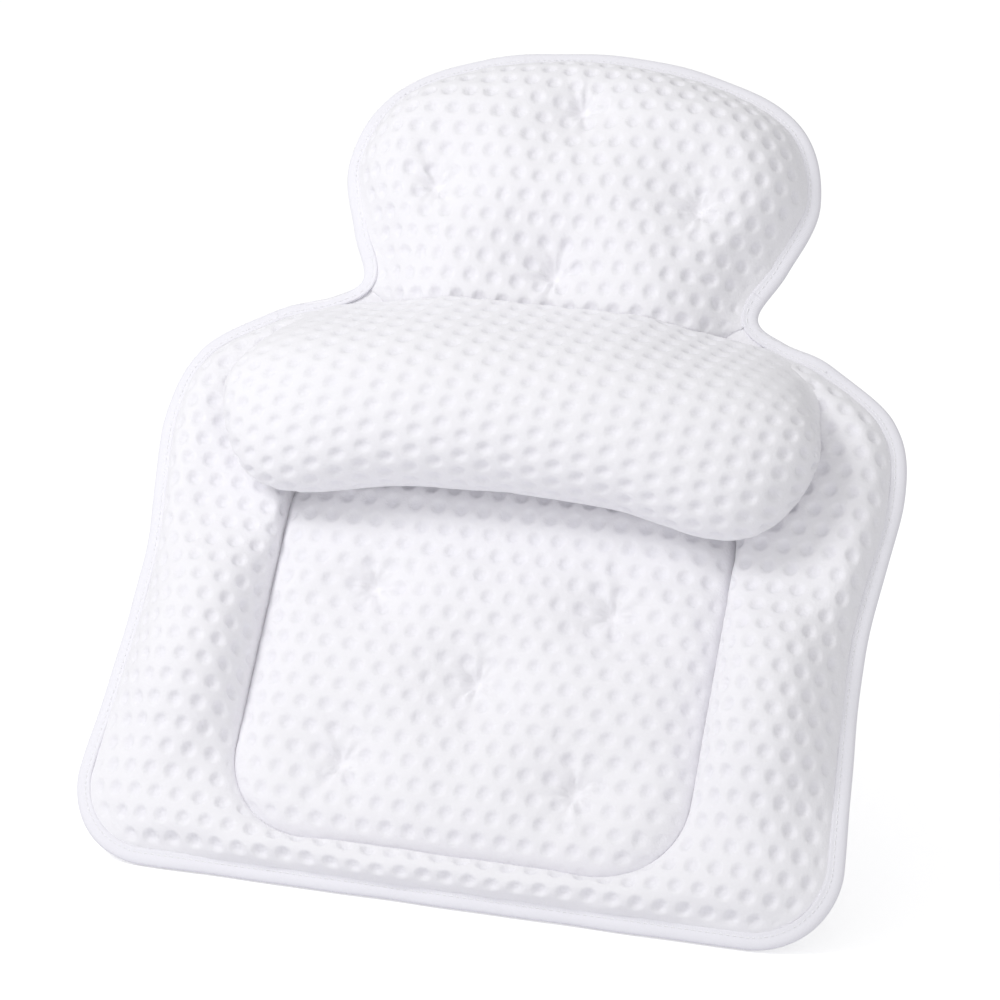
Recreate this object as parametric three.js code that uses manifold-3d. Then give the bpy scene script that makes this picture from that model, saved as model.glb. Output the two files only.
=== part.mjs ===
// Bath pillow: a folding head pad, a neck roll and a quilted back, held to the bath by suction cups.
// The pillow is drawn lying on its cups: x runs across it, y up its length from the bottom edge,
// and z out of its front. The finished group is then leaned back, as the pillow stands against the
// sloping end of a bath. Sizes are in millimetres and degrees.

import * as THREE from 'three';
import { mergeVertices } from 'three/addons/utils/BufferGeometryUtils.js';
import Module from 'manifold-3d';

const wasm = await Module();
wasm.setup();

// Slope of the bath's end, measured from upright
const LEAN = 35;

// Outline of the body, from the hips up to the shoulders
const HIP_WIDTH = 420;
const HIP_CORNER = 46;
const WAIST_WIDTH = 404;
const WAIST_Y = 165;
const SHOULDER_WIDTH = 418;
const SHOULDER_Y = 255;
const SHOULDER_BEND_X = 197;
const SHOULDER_BEND_Y = 299;
const SHOULDER_TOP_X = 158;
const SHOULDER_TOP_Y = 328;

// The fold across the neck, and the outline of the head measured up from it
const FOLD_Y = 339;
const WEB_LENGTH = 6;
const NECK_CORNER_X = 130;
const NECK_WIDTH = 226;
const NECK_RISE = 13;
const CHEEK_WIDTH = 250;
const CHEEK_RISE = 42;
const HEAD_WIDTH = 273;
const HEAD_WIDEST_RISE = 85;
const CROWN_WIDTH = 236;
const CROWN_RISE = 131;
const BROW_WIDTH = 136;
const BROW_RISE = 157;
const HEAD_RISE = 166;

// Cloth, tape and the slack left between sewn pieces
const CLEARANCE = 0.3;
const REAR_CLOTH = 2.5;
const COVER_CLOTH = 3.5;
const EDGE_CLOTH = 2.5;
const TAPE = 1;
const TAPE_WIDTH = 9;
const TAPE_ROUND = 2;
const NECK_TAPE_DROP = 11;
const NECK_TAPE_RISE = 22;
const PAD_MARGIN = 2.5;
const SEAM_FLANGE = 2.5;

// Crowns of the chambers above the plane of the seams, and how far in from a seam they reach full height
const HEAD_CROWN = 40;
const HEAD_SWELL = 28;
const PANEL_CROWN = 16;
const PANEL_SWELL = 26;
const SIDE_CROWN = 36;
const BOTTOM_CROWN = 19;
const BOTTOM_PAD_Y = 40;
const SIDE_PAD_Y = 120;
const PAD_FULLNESS = 2.6;

// The quilted panel in the middle of the body
const PANEL_WIDTH = 250;
const PANEL_BOTTOM_Y = 34;
const PANEL_TOP_Y = 255;
const PANEL_CORNER = 40;
const BORDER_SPLIT_Y = 62;

// Neck roll: it lies on a seat pressed into the body
const ROLL_LENGTH = 336;
const ROLL_LOW_Y = 222;
const ROLL_RIDGE_Y = 266;
const ROLL_HIGH_Y = 327;
const ROLL_ARCH = 16;
const ROLL_THICKNESS = 60;
const ROLL_CUT = 0.6;
const ROLL_SLOPE_POWER = 1.7;
const ROLL_END_POWER = 4;
const ROLL_END_ANGLE = 82;
const SEAT_HEIGHT = 16;
const SEAT_MARGIN = 4;
const SEAT_RISE = 40;

// Thread tufts: places on the head are measured up from the fold
const HEAD_TUFTS = [[0, 115], [-75, 61], [75, 61], [0, 18]];
const HEAD_TUFT_HEIGHT = 27;
const PANEL_TUFTS = [[-66, 168], [66, 168], [0, 121], [-64, 68], [64, 68]];
const PANEL_TUFT_HEIGHT = 7;
const TUFT_SPREAD = 30;
const TUFT_FLARE = 0.75;
const THREAD = 1.6;
const KNOT = 5;
const KNOT_HEIGHT = 1.6;

// Suction cups and the sewn patches that they snap into
const CUP_X = 150;
const CUP_LOW_Y = 75;
const CUP_HIGH_Y = 235;
const HEAD_CUP_X = 70;
const HEAD_CUP_RISE = 113;
const CUP_DIAMETER = 54;
const CUP_STANDOFF = 15;
const LIP_LAND = 3;
const LIP_EDGE = 1.2;
const CUP_HOLLOW = 6.5;
const BELL_HEIGHT = 10;
const COLLAR = 17;
const STEM = 9;
const BUTTON = 14;
const BUTTON_HEIGHT = 4;
const BUTTON_EDGE = 1.4;
const PATCH = 38;
const PATCH_CLOTH = 1.2;

// Facets
const OUTLINE_POINTS = 900;
const SIDE_STEP = 28;
const TURN_STEP = 13;
const PANEL_POINTS = 36;
const NECK_POINTS = 6;
const ROLL_STEPS = 16;
const ROLL_SIDES = 14;
const CUP_SIDES = 14;
const CUP_CURVE = 3;
const PATCH_SIDES = 12;
const PIT_SIDES = 8;
const KNOT_SIDES = 6;
const STEM_SIDES = 12;
const INWARD_STEPS = [0.08, 0.23, 0.45, 0.72];
const ACROSS_STEPS = [0.09, 0.3, 0.5, 0.7, 0.91];
const PIT_STEPS = [0, 0.3, 1];
const WELD = 1e-4;
const CUT_MARGIN = 10;

// Levels through the thickness, counted from the plane of the cups' lips
const PATCH_LEVEL = CUP_STANDOFF;
const REAR_OUT = PATCH_LEVEL + PATCH_CLOTH + CLEARANCE;
const REAR_IN = REAR_OUT + REAR_CLOTH;
const SEAM_LEVEL = REAR_IN + CLEARANCE;
const EDGE_TOP = SEAM_LEVEL + EDGE_CLOTH;
const TAPE_TOP = EDGE_TOP + CLEARANCE + TAPE;
const TAPE_BOTTOM = REAR_OUT - CLEARANCE - TAPE;
const SEAT_TOP = SEAM_LEVEL + SEAT_HEIGHT;
const ROLL_BASE = SEAT_TOP + CLEARANCE;
const CUT_DEPTH = SEAM_LEVEL - CUT_MARGIN;
const CUT_TOP = SEAM_LEVEL + HEAD_CROWN + ROLL_THICKNESS;

// Fold lines and insets shared by the pieces along the edge
const BODY_TOP_Y = FOLD_Y - WEB_LENGTH / 2;
const HEAD_LOW_Y = FOLD_Y + WEB_LENGTH / 2;
const CLOTH_INSET = TAPE_ROUND + CLEARANCE;
const PIT_FLOOR = KNOT / 2 + 2 * CLEARANCE;
const TAPE_FLANGE = TAPE_WIDTH + PAD_MARGIN;

// Outlines

function mirrored(point) {
  return new THREE.Vector2(-point.x, point.y);
}

// The right half of the pillow's outline, from the middle of the bottom edge to the top of the head
function drawOutline() {
  const rightSide = [
    new THREE.Vector2(WAIST_WIDTH / 2, WAIST_Y),
    new THREE.Vector2(SHOULDER_WIDTH / 2, SHOULDER_Y),
    new THREE.Vector2(SHOULDER_BEND_X, SHOULDER_BEND_Y),
    new THREE.Vector2(SHOULDER_TOP_X, SHOULDER_TOP_Y),
    new THREE.Vector2(NECK_CORNER_X, FOLD_Y),
    new THREE.Vector2(NECK_WIDTH / 2, FOLD_Y + NECK_RISE),
    new THREE.Vector2(CHEEK_WIDTH / 2, FOLD_Y + CHEEK_RISE),
    new THREE.Vector2(HEAD_WIDTH / 2, FOLD_Y + HEAD_WIDEST_RISE),
    new THREE.Vector2(CROWN_WIDTH / 2, FOLD_Y + CROWN_RISE),
    new THREE.Vector2(BROW_WIDTH / 2, FOLD_Y + BROW_RISE),
  ];
  const top = new THREE.Vector2(0, FOLD_Y + HEAD_RISE);
  const cornerX = HIP_WIDTH / 2 - HIP_CORNER;
  const outline = new THREE.Path();
  outline.moveTo(0, 0);
  outline.lineTo(cornerX, 0);
  outline.absarc(cornerX, HIP_CORNER, HIP_CORNER, -Math.PI / 2, 0, false);
  outline.splineThru([...rightSide, top, ...leftOf(rightSide)]);
  const points = outline.getSpacedPoints(OUTLINE_POINTS).filter((point) => point.x >= 0 && point.y < top.y);
  return spaced([...points, top]);
}

// Picks points so that they lie closer together where the run bends; the ends stay
function spaced(points) {
  const picked = [points[0]];
  let heading = points[1].clone().sub(points[0]).angle();
  for (let i = 1; i < points.length - 1; i += 1) {
    const next = points[i + 1].clone().sub(points[i]).angle();
    const turn = Math.abs(Math.atan2(Math.sin(next - heading), Math.cos(next - heading)));
    const run = points[i].distanceTo(picked[picked.length - 1]);
    if (run > SIDE_STEP || turn > THREE.MathUtils.degToRad(TURN_STEP)) {
      picked.push(points[i]);
      heading = next;
    }
  }
  return [...picked, points[points.length - 1]];
}

function drawPanel() {
  const x = PANEL_WIDTH / 2 - PANEL_CORNER;
  const low = PANEL_BOTTOM_Y + PANEL_CORNER;
  const high = PANEL_TOP_Y - PANEL_CORNER;
  const panel = new THREE.Path();
  panel.moveTo(0, PANEL_BOTTOM_Y);
  panel.lineTo(x, PANEL_BOTTOM_Y);
  panel.absarc(x, low, PANEL_CORNER, -Math.PI / 2, 0, false);
  panel.lineTo(PANEL_WIDTH / 2, high);
  panel.absarc(x, high, PANEL_CORNER, 0, Math.PI / 2, false);
  panel.lineTo(-x, PANEL_TOP_Y);
  panel.absarc(-x, high, PANEL_CORNER, Math.PI / 2, Math.PI, false);
  panel.lineTo(-PANEL_WIDTH / 2, low);
  panel.absarc(-x, low, PANEL_CORNER, Math.PI, Math.PI * 1.5, false);
  panel.lineTo(0, PANEL_BOTTOM_Y);
  return panel.getSpacedPoints(PANEL_POINTS).slice(0, -1);
}

function crossing(from, to, y) {
  return from.clone().lerp(to, (y - from.y) / (to.y - from.y));
}

function evenly(points, count) {
  const path = new THREE.CurvePath();
  points.slice(1).forEach((point, i) => path.add(new THREE.LineCurve(points[i], point)));
  path.arcLengthDivisions = points.length * 4;
  return path.getSpacedPoints(count);
}

function leftOf(rightRun) {
  return rightRun.map(mirrored).reverse();
}

// The stretch of a right-hand run that rises between two heights, cut exactly there
function between(run, low, high) {
  const cut = (y) => {
    const next = run.findIndex((point) => point.y > y);
    return crossing(run[next - 1], run[next], y);
  };
  const start = low > run[0].y ? [cut(low)] : [];
  const end = high < run[run.length - 1].y ? [cut(high)] : [];
  return [...start, ...run.filter((point) => point.y >= low && point.y <= high), ...end];
}

// A right-hand run and its mirror image as one anticlockwise run, joined in the middle above or below
function wholeRun(right, joinedAbove) {
  return joinedAbove ? [...right, ...leftOf(right).slice(1)] : [...leftOf(right), ...right.slice(1)];
}

// Outward moves of the points of an anticlockwise run, so that each side of it moves by the same distance.
// The ends of an open run move square to it.
function outwardMoves(points, closed) {
  const count = points.length;
  const normal = (from, to) => {
    const along = to.clone().sub(from).normalize();
    return new THREE.Vector2(along.y, -along.x);
  };
  return points.map((point, i) => {
    const first = normal(points[(i + count - 1) % count], point);
    const second = normal(point, points[(i + 1) % count]);
    if (!closed && i === 0) return second;
    if (!closed && i === count - 1) return first;
    return first.clone().add(second).divideScalar(1 + first.dot(second));
  });
}

function movedOut(outline, distance) {
  const moves = outwardMoves(outline, true);
  return outline.map((point, i) => point.clone().addScaledVector(moves[i], distance));
}

// The right half of the outline, moved in
function insetHalf(distance) {
  const whole = [...rightHalf, ...leftOf(rightHalf).slice(1, -1)];
  return movedOut(whole, -distance).slice(0, rightHalf.length);
}

// The side of the head or of the body, moved in and cut at the neck seam
function sideOf(part, insetBy, seamInset) {
  const half = insetHalf(insetBy);
  if (part === 'head') return between(half, HEAD_LOW_Y + seamInset, Infinity);
  return between(half, -Infinity, BODY_TOP_Y - seamInset);
}

// A closed edge from the right-hand side of the head or the body, shut by a straight line along the neck seam
function shutEdge(part, side) {
  const run = wholeRun(side, part === 'head');
  return [...run, ...evenly([run[run.length - 1], run[0]], NECK_POINTS).slice(1, -1)];
}

function clothEdge(part) {
  return shutEdge(part, sideOf(part, CLOTH_INSET, 0));
}

// The line where a pad starts to swell, with as many points as its edge
function padFlange(part) {
  const count = sideOf(part, CLOTH_INSET, 0).length - 1;
  return shutEdge(part, evenly(sideOf(part, TAPE_FLANGE, SEAM_FLANGE), count));
}

// Where a ray from a centre leaves a closed outline
function rayHit(outline, centre, toward) {
  const ray = toward.clone().sub(centre);
  for (let i = 0; i < outline.length; i += 1) {
    const a = outline[i].clone().sub(centre);
    const side = outline[(i + 1) % outline.length].clone().sub(outline[i]);
    const turn = ray.cross(side);
    const reach = a.cross(side) / turn;
    const along = a.cross(ray) / turn;
    if (reach > 0 && along >= 0 && along <= 1) return centre.clone().addScaledVector(ray, reach);
  }
  return toward.clone();
}

function distanceToEdge(points, x, y) {
  let nearest = Infinity;
  points.forEach((point, i) => {
    const next = points[(i + 1) % points.length];
    const sideX = next.x - point.x;
    const sideY = next.y - point.y;
    const dot = (x - point.x) * sideX + (y - point.y) * sideY;
    const along = THREE.MathUtils.clamp(dot / (sideX * sideX + sideY * sideY), 0, 1);
    nearest = Math.min(nearest, Math.hypot(point.x + sideX * along - x, point.y + sideY * along - y));
  });
  return nearest;
}

// Meshes and solids

function meshFrom(vertices, faces) {
  const geometry = new THREE.BufferGeometry();
  geometry.setAttribute('position', new THREE.Float32BufferAttribute(vertices.flat(), 3));
  geometry.setIndex(faces.flat());
  return geometry;
}

function solid(geometry) {
  const bare = geometry.clone();
  bare.deleteAttribute('normal');
  bare.deleteAttribute('uv');
  const merged = mergeVertices(bare, WELD);
  const index = merged.index.array;
  const triangles = [];
  for (let i = 0; i < index.length; i += 3) {
    const [a, b, c] = index.slice(i, i + 3);
    if (a !== b && b !== c && c !== a) triangles.push(a, b, c);
  }
  return new wasm.Manifold(new wasm.Mesh({
    numProp: 3,
    vertProperties: merged.attributes.position.array,
    triVerts: new Uint32Array(triangles),
  }));
}

function geometryOf(shape) {
  const mesh = shape.getMesh();
  const geometry = new THREE.BufferGeometry();
  geometry.setAttribute('position', new THREE.BufferAttribute(mesh.vertProperties, 3));
  geometry.setIndex(new THREE.BufferAttribute(mesh.triVerts, 1));
  return geometry;
}

// A flat-sided solid over a closed outline, between two levels
function prism(outline, low, high, holes = []) {
  const shape = new THREE.Shape(outline);
  shape.holes.push(...holes.map((rim) => new THREE.Path(rim)));
  return new THREE.ExtrudeGeometry(shape, { depth: high - low, bevelEnabled: false }).translate(0, 0, low);
}

// A solid of revolution about a line along z at (x, y), from a profile of radius and level
function turned(profile, sides, x = 0, y = 0) {
  const geometry = new THREE.LatheGeometry(profile.map(([r, z]) => new THREE.Vector2(r, z)), sides);
  geometry.rotateX(Math.PI / 2);
  geometry.translate(x, y, 0);
  return geometry;
}

function rod(radius, low, high, sides, x, y) {
  return solid(turned([[0, low], [radius, low], [radius, high], [0, high]], sides, x, y));
}

// A mound between a flat base and a skin lofted over rings of points that run inward from the edge.
// The last ring is either one point, the middle of the mound, or the inner edge of a ring-shaped mound.
function mound(rings, base, drop) {
  const count = rings[0].length;
  const skin = rings.flat();
  const vertices = [
    ...skin.map(({ x, y, z }) => [x, y, z - drop]),
    ...skin.map(({ x, y }) => [x, y, base]),
  ];
  const under = skin.length;
  const last = rings.length - 1;
  const hollow = rings[last].length > 1;
  const at = (ring, j) => ring * count + (ring === last && !hollow ? 0 : j % count);
  const faces = [];
  const wall = (a, b) => faces.push([a + under, b + under, b], [a + under, b, a]);
  for (let ring = 0; ring < last; ring += 1) {
    for (let j = 0; j < count; j += 1) {
      const [a, b] = [at(ring, j), at(ring, j + 1)];
      const [c, d] = [at(ring + 1, j + 1), at(ring + 1, j)];
      faces.push([a, b, d], [b + under, a + under, d + under]);
      if (c !== d) faces.push([b, c, d], [c + under, b + under, d + under]);
    }
  }
  for (let j = 0; j < count; j += 1) {
    wall(at(0, j), at(0, j + 1));
    if (hollow) wall(at(last, j + 1), at(last, j));
  }
  return solid(meshFrom(vertices, faces));
}

// Runs of the outline and places that the pieces share

const rightHalf = drawOutline();
const tapeLowY = FOLD_Y - NECK_TAPE_DROP;
const tapeHighY = FOLD_Y + NECK_TAPE_RISE;
const neckTape = between(rightHalf, tapeLowY + CLEARANCE, tapeHighY - CLEARANCE);
const panelSeam = drawPanel();
const panelCentre = new THREE.Vector2(0, (PANEL_BOTTOM_Y + PANEL_TOP_Y) / 2);
const headCentre = new THREE.Vector2(0, FOLD_Y + HEAD_WIDEST_RISE);
const headTufts = HEAD_TUFTS.map(([x, rise]) => [x, FOLD_Y + rise]);
const bodyCups = [CUP_LOW_Y, CUP_HIGH_Y].flatMap((y) => [[-CUP_X, y], [CUP_X, y]]);
const headCups = [[-HEAD_CUP_X, FOLD_Y + HEAD_CUP_RISE], [HEAD_CUP_X, FOLD_Y + HEAD_CUP_RISE]];

// The neck roll's plan and section

const rollHalf = ROLL_LENGTH / 2;

// The roll bows: its ends lie lower than its middle
function rollDrop(x) {
  return ROLL_ARCH * (x / rollHalf) ** 2;
}

// How far a place on the body is pressed down by the roll: 1 under it, 0 well clear of it
function pressedByRoll(x, y) {
  const along = y + rollDrop(THREE.MathUtils.clamp(x, -rollHalf, rollHalf));
  const pastEnd = Math.max(Math.abs(x) - rollHalf, 0);
  const pastSide = Math.max(ROLL_LOW_Y - along, along - ROLL_HIGH_Y, 0);
  const clear = Math.hypot(pastEnd, pastSide);
  return 1 - THREE.MathUtils.smoothstep(clear, SEAT_MARGIN, SEAT_MARGIN + SEAT_RISE);
}

// Points of one cross-section of the roll at a station from -1 to 1, over the top from its low side
// to its high side. The low side is round and overhangs the panel; the high side slopes down to the neck.
function rollSection(station, shrink) {
  const angle = THREE.MathUtils.degToRad(station * ROLL_END_ANGLE);
  const reach = Math.sign(angle) * Math.abs(Math.sin(angle)) ** (2 / ROLL_END_POWER);
  const taper = Math.cos(angle) ** (2 / ROLL_END_POWER);
  const outerRise = (ROLL_THICKNESS * taper) / (1 + ROLL_CUT);
  const rise = outerRise - shrink;
  const height = ROLL_THICKNESS * taper - shrink;
  const middleZ = ROLL_BASE + ROLL_CUT * outerRise;
  const dip = Math.asin(Math.min((ROLL_CUT * outerRise) / rise, 1));
  const ridge = ROLL_RIDGE_Y - rollDrop(reach * rollHalf);
  const lowHalf = (ROLL_RIDGE_Y - ROLL_LOW_Y) * taper - shrink;
  const highHalf = (ROLL_HIGH_Y - ROLL_RIDGE_Y) * taper - shrink;
  const x = reach * (rollHalf - shrink);
  const points = [];
  for (let side = 0; side < ROLL_SIDES / 2; side += 1) {
    const turn = Math.PI + dip - ((Math.PI / 2 + dip) * side) / (ROLL_SIDES / 2);
    points.push([x, ridge + lowHalf * Math.cos(turn), middleZ + rise * Math.sin(turn)]);
  }
  for (let side = ROLL_SIDES / 2; side >= 0; side -= 1) {
    const turn = (Math.PI * side) / ROLL_SIDES;
    const out = Math.cos(turn) ** (2 / ROLL_SLOPE_POWER);
    const up = Math.sin(turn) ** (2 / ROLL_SLOPE_POWER);
    points.push([x, ridge + highHalf * out, ROLL_BASE + height * up]);
  }
  return points;
}

function rollSkin(shrink) {
  const rings = [];
  for (let step = 0; step <= ROLL_STEPS; step += 1) {
    rings.push(rollSection((2 * step) / ROLL_STEPS - 1, shrink));
  }
  return rings;
}

// Faces of a skin of rings: its sides, and a fan over each end
function skinFaces(start) {
  const width = ROLL_SIDES + 1;
  const faces = [];
  for (let step = 0; step < ROLL_STEPS; step += 1) {
    for (let side = 0; side < ROLL_SIDES; side += 1) {
      const a = start + step * width + side;
      faces.push([a, a + width, a + 1], [a + 1, a + width, a + width + 1]);
    }
  }
  const end = start + ROLL_STEPS * width;
  for (let side = 1; side < ROLL_SIDES; side += 1) {
    faces.push([start, start + side, start + side + 1], [end, end + side + 1, end + side]);
  }
  return faces;
}

// The room that the roll takes, from its widest plan grown by a distance and from a level upward
function rollRoom(grow, level) {
  const rings = rollSkin(0);
  const lowSide = rings.map((ring) => {
    return new THREE.Vector2(ring[0][0], Math.min(...ring.map((point) => point[1])));
  });
  const highSide = rings.map((ring) => new THREE.Vector2(ring[ROLL_SIDES][0], ring[ROLL_SIDES][1]));
  return solid(prism(movedOut([...lowSide, ...highSide.reverse()], grow), level, CUT_TOP));
}

// The sleeve is open where it lies on the body, so that its wadding rests there
function rollCover() {
  const outer = rollSkin(0).flat();
  const inner = rollSkin(COVER_CLOTH).flat();
  const faces = skinFaces(0);
  skinFaces(outer.length).forEach(([a, b, c]) => faces.push([c, b, a]));
  const width = ROLL_SIDES + 1;
  const rim = [];
  for (let step = 0; step <= ROLL_STEPS; step += 1) rim.push(step * width);
  for (let step = ROLL_STEPS; step >= 0; step -= 1) rim.push(step * width + ROLL_SIDES);
  rim.forEach((a, i) => {
    const b = rim[(i + 1) % rim.length];
    faces.push([a, b + outer.length, b], [a, a + outer.length, b + outer.length]);
  });
  return meshFrom([...outer, ...inner], faces);
}

function rollFill() {
  const rings = rollSkin(COVER_CLOTH + CLEARANCE);
  const faces = skinFaces(0);
  const width = ROLL_SIDES + 1;
  for (let step = 0; step < ROLL_STEPS; step += 1) {
    const a = step * width;
    const b = a + ROLL_SIDES;
    faces.push([a, b, a + width], [a + width, b, b + width]);
  }
  return meshFrom(rings.flat(), faces);
}

// Padded chambers

// A pit drawn in by a tuft: its floor takes the knot, and it flares out over the cushion
function tuftPit([x, y], floor, crown) {
  const depth = crown - floor;
  const slope = PIT_STEPS.map((step) => {
    return [THREE.MathUtils.lerp(PIT_FLOOR, TUFT_SPREAD, step), floor + depth * step ** TUFT_FLARE];
  });
  const profile = [[0, floor], ...slope, [TUFT_SPREAD, CUT_TOP], [0, CUT_TOP]];
  return solid(turned(profile, PIT_SIDES, x, y));
}

// A chamber's cover and wadding, from the rings of its sewn edge, its tufts, the cups behind it and the
// roll that lies on it
function chamber({ rings, tufts = [], tuftHeight = 0, crown = 0, cups = [], underRoll = false }) {
  const inner = rings[rings.length - 1].length > 1 ? rings.slice(1, -1) : rings.slice(1);
  const cut = (shape, tools) => tools.reduce((left, tool) => left.subtract(tool), shape);
  const hollows = (drop) => {
    const [floor, top] = [SEAM_LEVEL + tuftHeight - drop, SEAM_LEVEL + crown - drop + CLEARANCE];
    const pits = tufts.map((place) => tuftPit(place, floor, top));
    return underRoll ? [...pits, rollRoom(CLEARANCE + drop, SEAT_TOP - drop)] : pits;
  };
  const lowered = (drop) => cut(mound(inner, CUT_DEPTH, drop), hollows(drop));
  const threads = tufts.map(([x, y]) => rod(THREAD / 2 + CLEARANCE, CUT_DEPTH, CUT_TOP, KNOT_SIDES, x, y));
  const buttonTop = SEAM_LEVEL + BUTTON_HEIGHT + CLEARANCE;
  const buttons = cups.map(([x, y]) => rod(BUTTON / 2 + CLEARANCE, CUT_DEPTH, buttonTop, CUP_SIDES, x, y));
  const whole = cut(mound(rings, SEAM_LEVEL, 0), hollows(0));
  const cover = cut(whole.subtract(lowered(COVER_CLOTH)), threads);
  const wadding = lowered(COVER_CLOTH + CLEARANCE).trimByPlane([0, 0, 1], SEAM_LEVEL);
  return { cover, fill: cut(wadding, [...threads, ...buttons]) };
}

function atLevel(points, level) {
  return points.map(({ x, y }) => new THREE.Vector3(x, y, level));
}

// Rings of a pad that swells from its sewn edge like the quarter of a circle
function padRings(edge, flange, centre, crown, reach) {
  const inside = INWARD_STEPS.map((step) => flange.map((point) => point.clone().lerp(centre, step)));
  const raised = [...inside, [centre]].map((ring) => ring.map(({ x, y }) => {
    const inward = Math.min(distanceToEdge(flange, x, y) / reach, 1);
    return new THREE.Vector3(x, y, EDGE_TOP + (crown - EDGE_CLOTH) * Math.sqrt(1 - (1 - inward) ** 2));
  }));
  return [atLevel(edge, EDGE_TOP), atLevel(flange, EDGE_TOP), ...raised];
}

// Rings pressed down to the roll's seat where the roll lies on them
function pressed(rings) {
  return rings.map((ring) => ring.map(({ x, y, z }) => {
    const level = THREE.MathUtils.lerp(z, Math.min(z, SEAT_TOP), pressedByRoll(x, y));
    return new THREE.Vector3(x, y, level);
  }));
}

function makeHead() {
  const edge = clothEdge('head');
  const flange = padFlange('head');
  const rings = padRings(edge, flange, headCentre, HEAD_CROWN, HEAD_SWELL);
  return chamber({
    rings,
    tufts: headTufts,
    tuftHeight: HEAD_TUFT_HEIGHT,
    crown: HEAD_CROWN,
    cups: headCups,
  });
}

function makePanel() {
  const edge = movedOut(panelSeam, -CLEARANCE / 2);
  const flange = movedOut(panelSeam, -SEAM_FLANGE);
  const rings = pressed(padRings(edge, flange, panelCentre, PANEL_CROWN, PANEL_SWELL));
  return chamber({ rings, tufts: PANEL_TUFTS, tuftHeight: PANEL_TUFT_HEIGHT, crown: PANEL_CROWN });
}

function makeBorder() {
  const edge = clothEdge('body');
  const flange = padFlange('body');
  const seamSide = (distance) => {
    const seam = movedOut(panelSeam, distance);
    return flange.map((point) => rayHit(seam, panelCentre, point));
  };
  const innerFlange = seamSide(SEAM_FLANGE);
  const across = ACROSS_STEPS.map((step) => {
    const fullness = Math.sqrt(1 - Math.abs(2 * step - 1) ** PAD_FULLNESS);
    return flange.map((point, j) => {
      const { x, y } = point.clone().lerp(innerFlange[j], step);
      const upSide = THREE.MathUtils.smoothstep(y, BOTTOM_PAD_Y, SIDE_PAD_Y);
      const crown = THREE.MathUtils.lerp(BOTTOM_CROWN, SIDE_CROWN, upSide);
      return new THREE.Vector3(x, y, EDGE_TOP + (crown - EDGE_CLOTH) * fullness);
    });
  });
  const rings = [
    atLevel(edge, EDGE_TOP),
    atLevel(flange, EDGE_TOP),
    ...pressed(across),
    atLevel(innerFlange, EDGE_TOP),
    atLevel(seamSide(CLEARANCE / 2), EDGE_TOP),
  ];
  const { cover, fill } = chamber({ rings, cups: bodyCups, underRoll: true });
  const half = CLEARANCE / 2;
  const panelRoom = solid(prism(movedOut(panelSeam, half), CUT_DEPTH, CUT_TOP));
  const upper = fill.trimByPlane([0, 1, 0], BORDER_SPLIT_Y + half);
  return {
    cover: cover.subtract(panelRoom),
    bottomFill: fill.trimByPlane([0, -1, 0], half - BORDER_SPLIT_Y),
    leftFill: upper.trimByPlane([-1, 0, 0], half),
    rightFill: upper.trimByPlane([1, 0, 0], half),
  };
}

// Rear cloth, edge tape and the neck

function rearCover(part, tufts, cups) {
  const hole = ([x, y], radius, sides) => {
    const turns = Array.from({ length: sides }, (_, i) => (Math.PI * 2 * i) / sides);
    return turns.map((turn) => new THREE.Vector2(x + radius * Math.sin(turn), y + radius * Math.cos(turn)));
  };
  const holes = [
    ...tufts.map((place) => hole(place, THREAD / 2 + CLEARANCE, KNOT_SIDES)),
    ...cups.map((place) => hole(place, STEM / 2 + CLEARANCE, STEM_SIDES)),
  ];
  return prism(clothEdge(part), REAR_OUT, REAR_IN, holes);
}

// Folded tape along a run of edge points: round outside, with a slot that takes both cloths.
// Its section is two lines of points, outer and inner, given as distance outward and level.
function tapeAlong(path) {
  const fold = (thickness) => [
    [-TAPE_WIDTH, TAPE_BOTTOM + thickness],
    [-TAPE_ROUND, TAPE_BOTTOM + thickness],
    [-thickness, TAPE_BOTTOM + TAPE_ROUND],
    [-thickness, TAPE_TOP - TAPE_ROUND],
    [-TAPE_ROUND, TAPE_TOP - thickness],
    [-TAPE_WIDTH, TAPE_TOP - thickness],
  ];
  const outer = fold(0);
  const section = [...outer, ...fold(TAPE).reverse()];
  const sides = section.length;
  const moves = outwardMoves(path, false);
  const vertices = path.flatMap((point, i) => section.map(([out, level]) => {
    return [point.x + moves[i].x * out, point.y + moves[i].y * out, level];
  }));
  const faces = [];
  for (let i = 0; i < path.length - 1; i += 1) {
    for (let j = 0; j < sides; j += 1) {
      const [a, b] = [i * sides + j, i * sides + (j + 1) % sides];
      faces.push([a, a + sides, b], [b, a + sides, b + sides]);
    }
  }
  const end = (path.length - 1) * sides;
  for (let j = 0; j < outer.length - 1; j += 1) {
    const [c, d] = [sides - 2 - j, sides - 1 - j];
    faces.push([j, j + 1, c], [j, c, d], [end + c, end + j + 1, end + j], [end + d, end + c, end + j]);
  }
  return meshFrom(vertices, faces);
}

// Both cloths sewn flat to each other between the head and the body
function neckWeb() {
  const right = between(insetHalf(CLOTH_INSET), BODY_TOP_Y + CLEARANCE, HEAD_LOW_Y - CLEARANCE);
  return prism([...right, ...leftOf(right)], REAR_OUT, EDGE_TOP);
}

// Tufts, patches and cups

function tuft([x, y], height) {
  const back = REAR_OUT - CLEARANCE;
  const front = SEAM_LEVEL + height + CLEARANCE;
  const profile = [
    [0, back - KNOT_HEIGHT],
    [KNOT / 2, back - KNOT_HEIGHT / 2],
    [KNOT / 2, back],
    [THREAD / 2, back],
    [THREAD / 2, front],
    [KNOT / 2, front],
    [KNOT / 2, front + KNOT_HEIGHT / 2],
    [0, front + KNOT_HEIGHT],
  ];
  return turned(profile, KNOT_SIDES, x, y);
}

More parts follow.
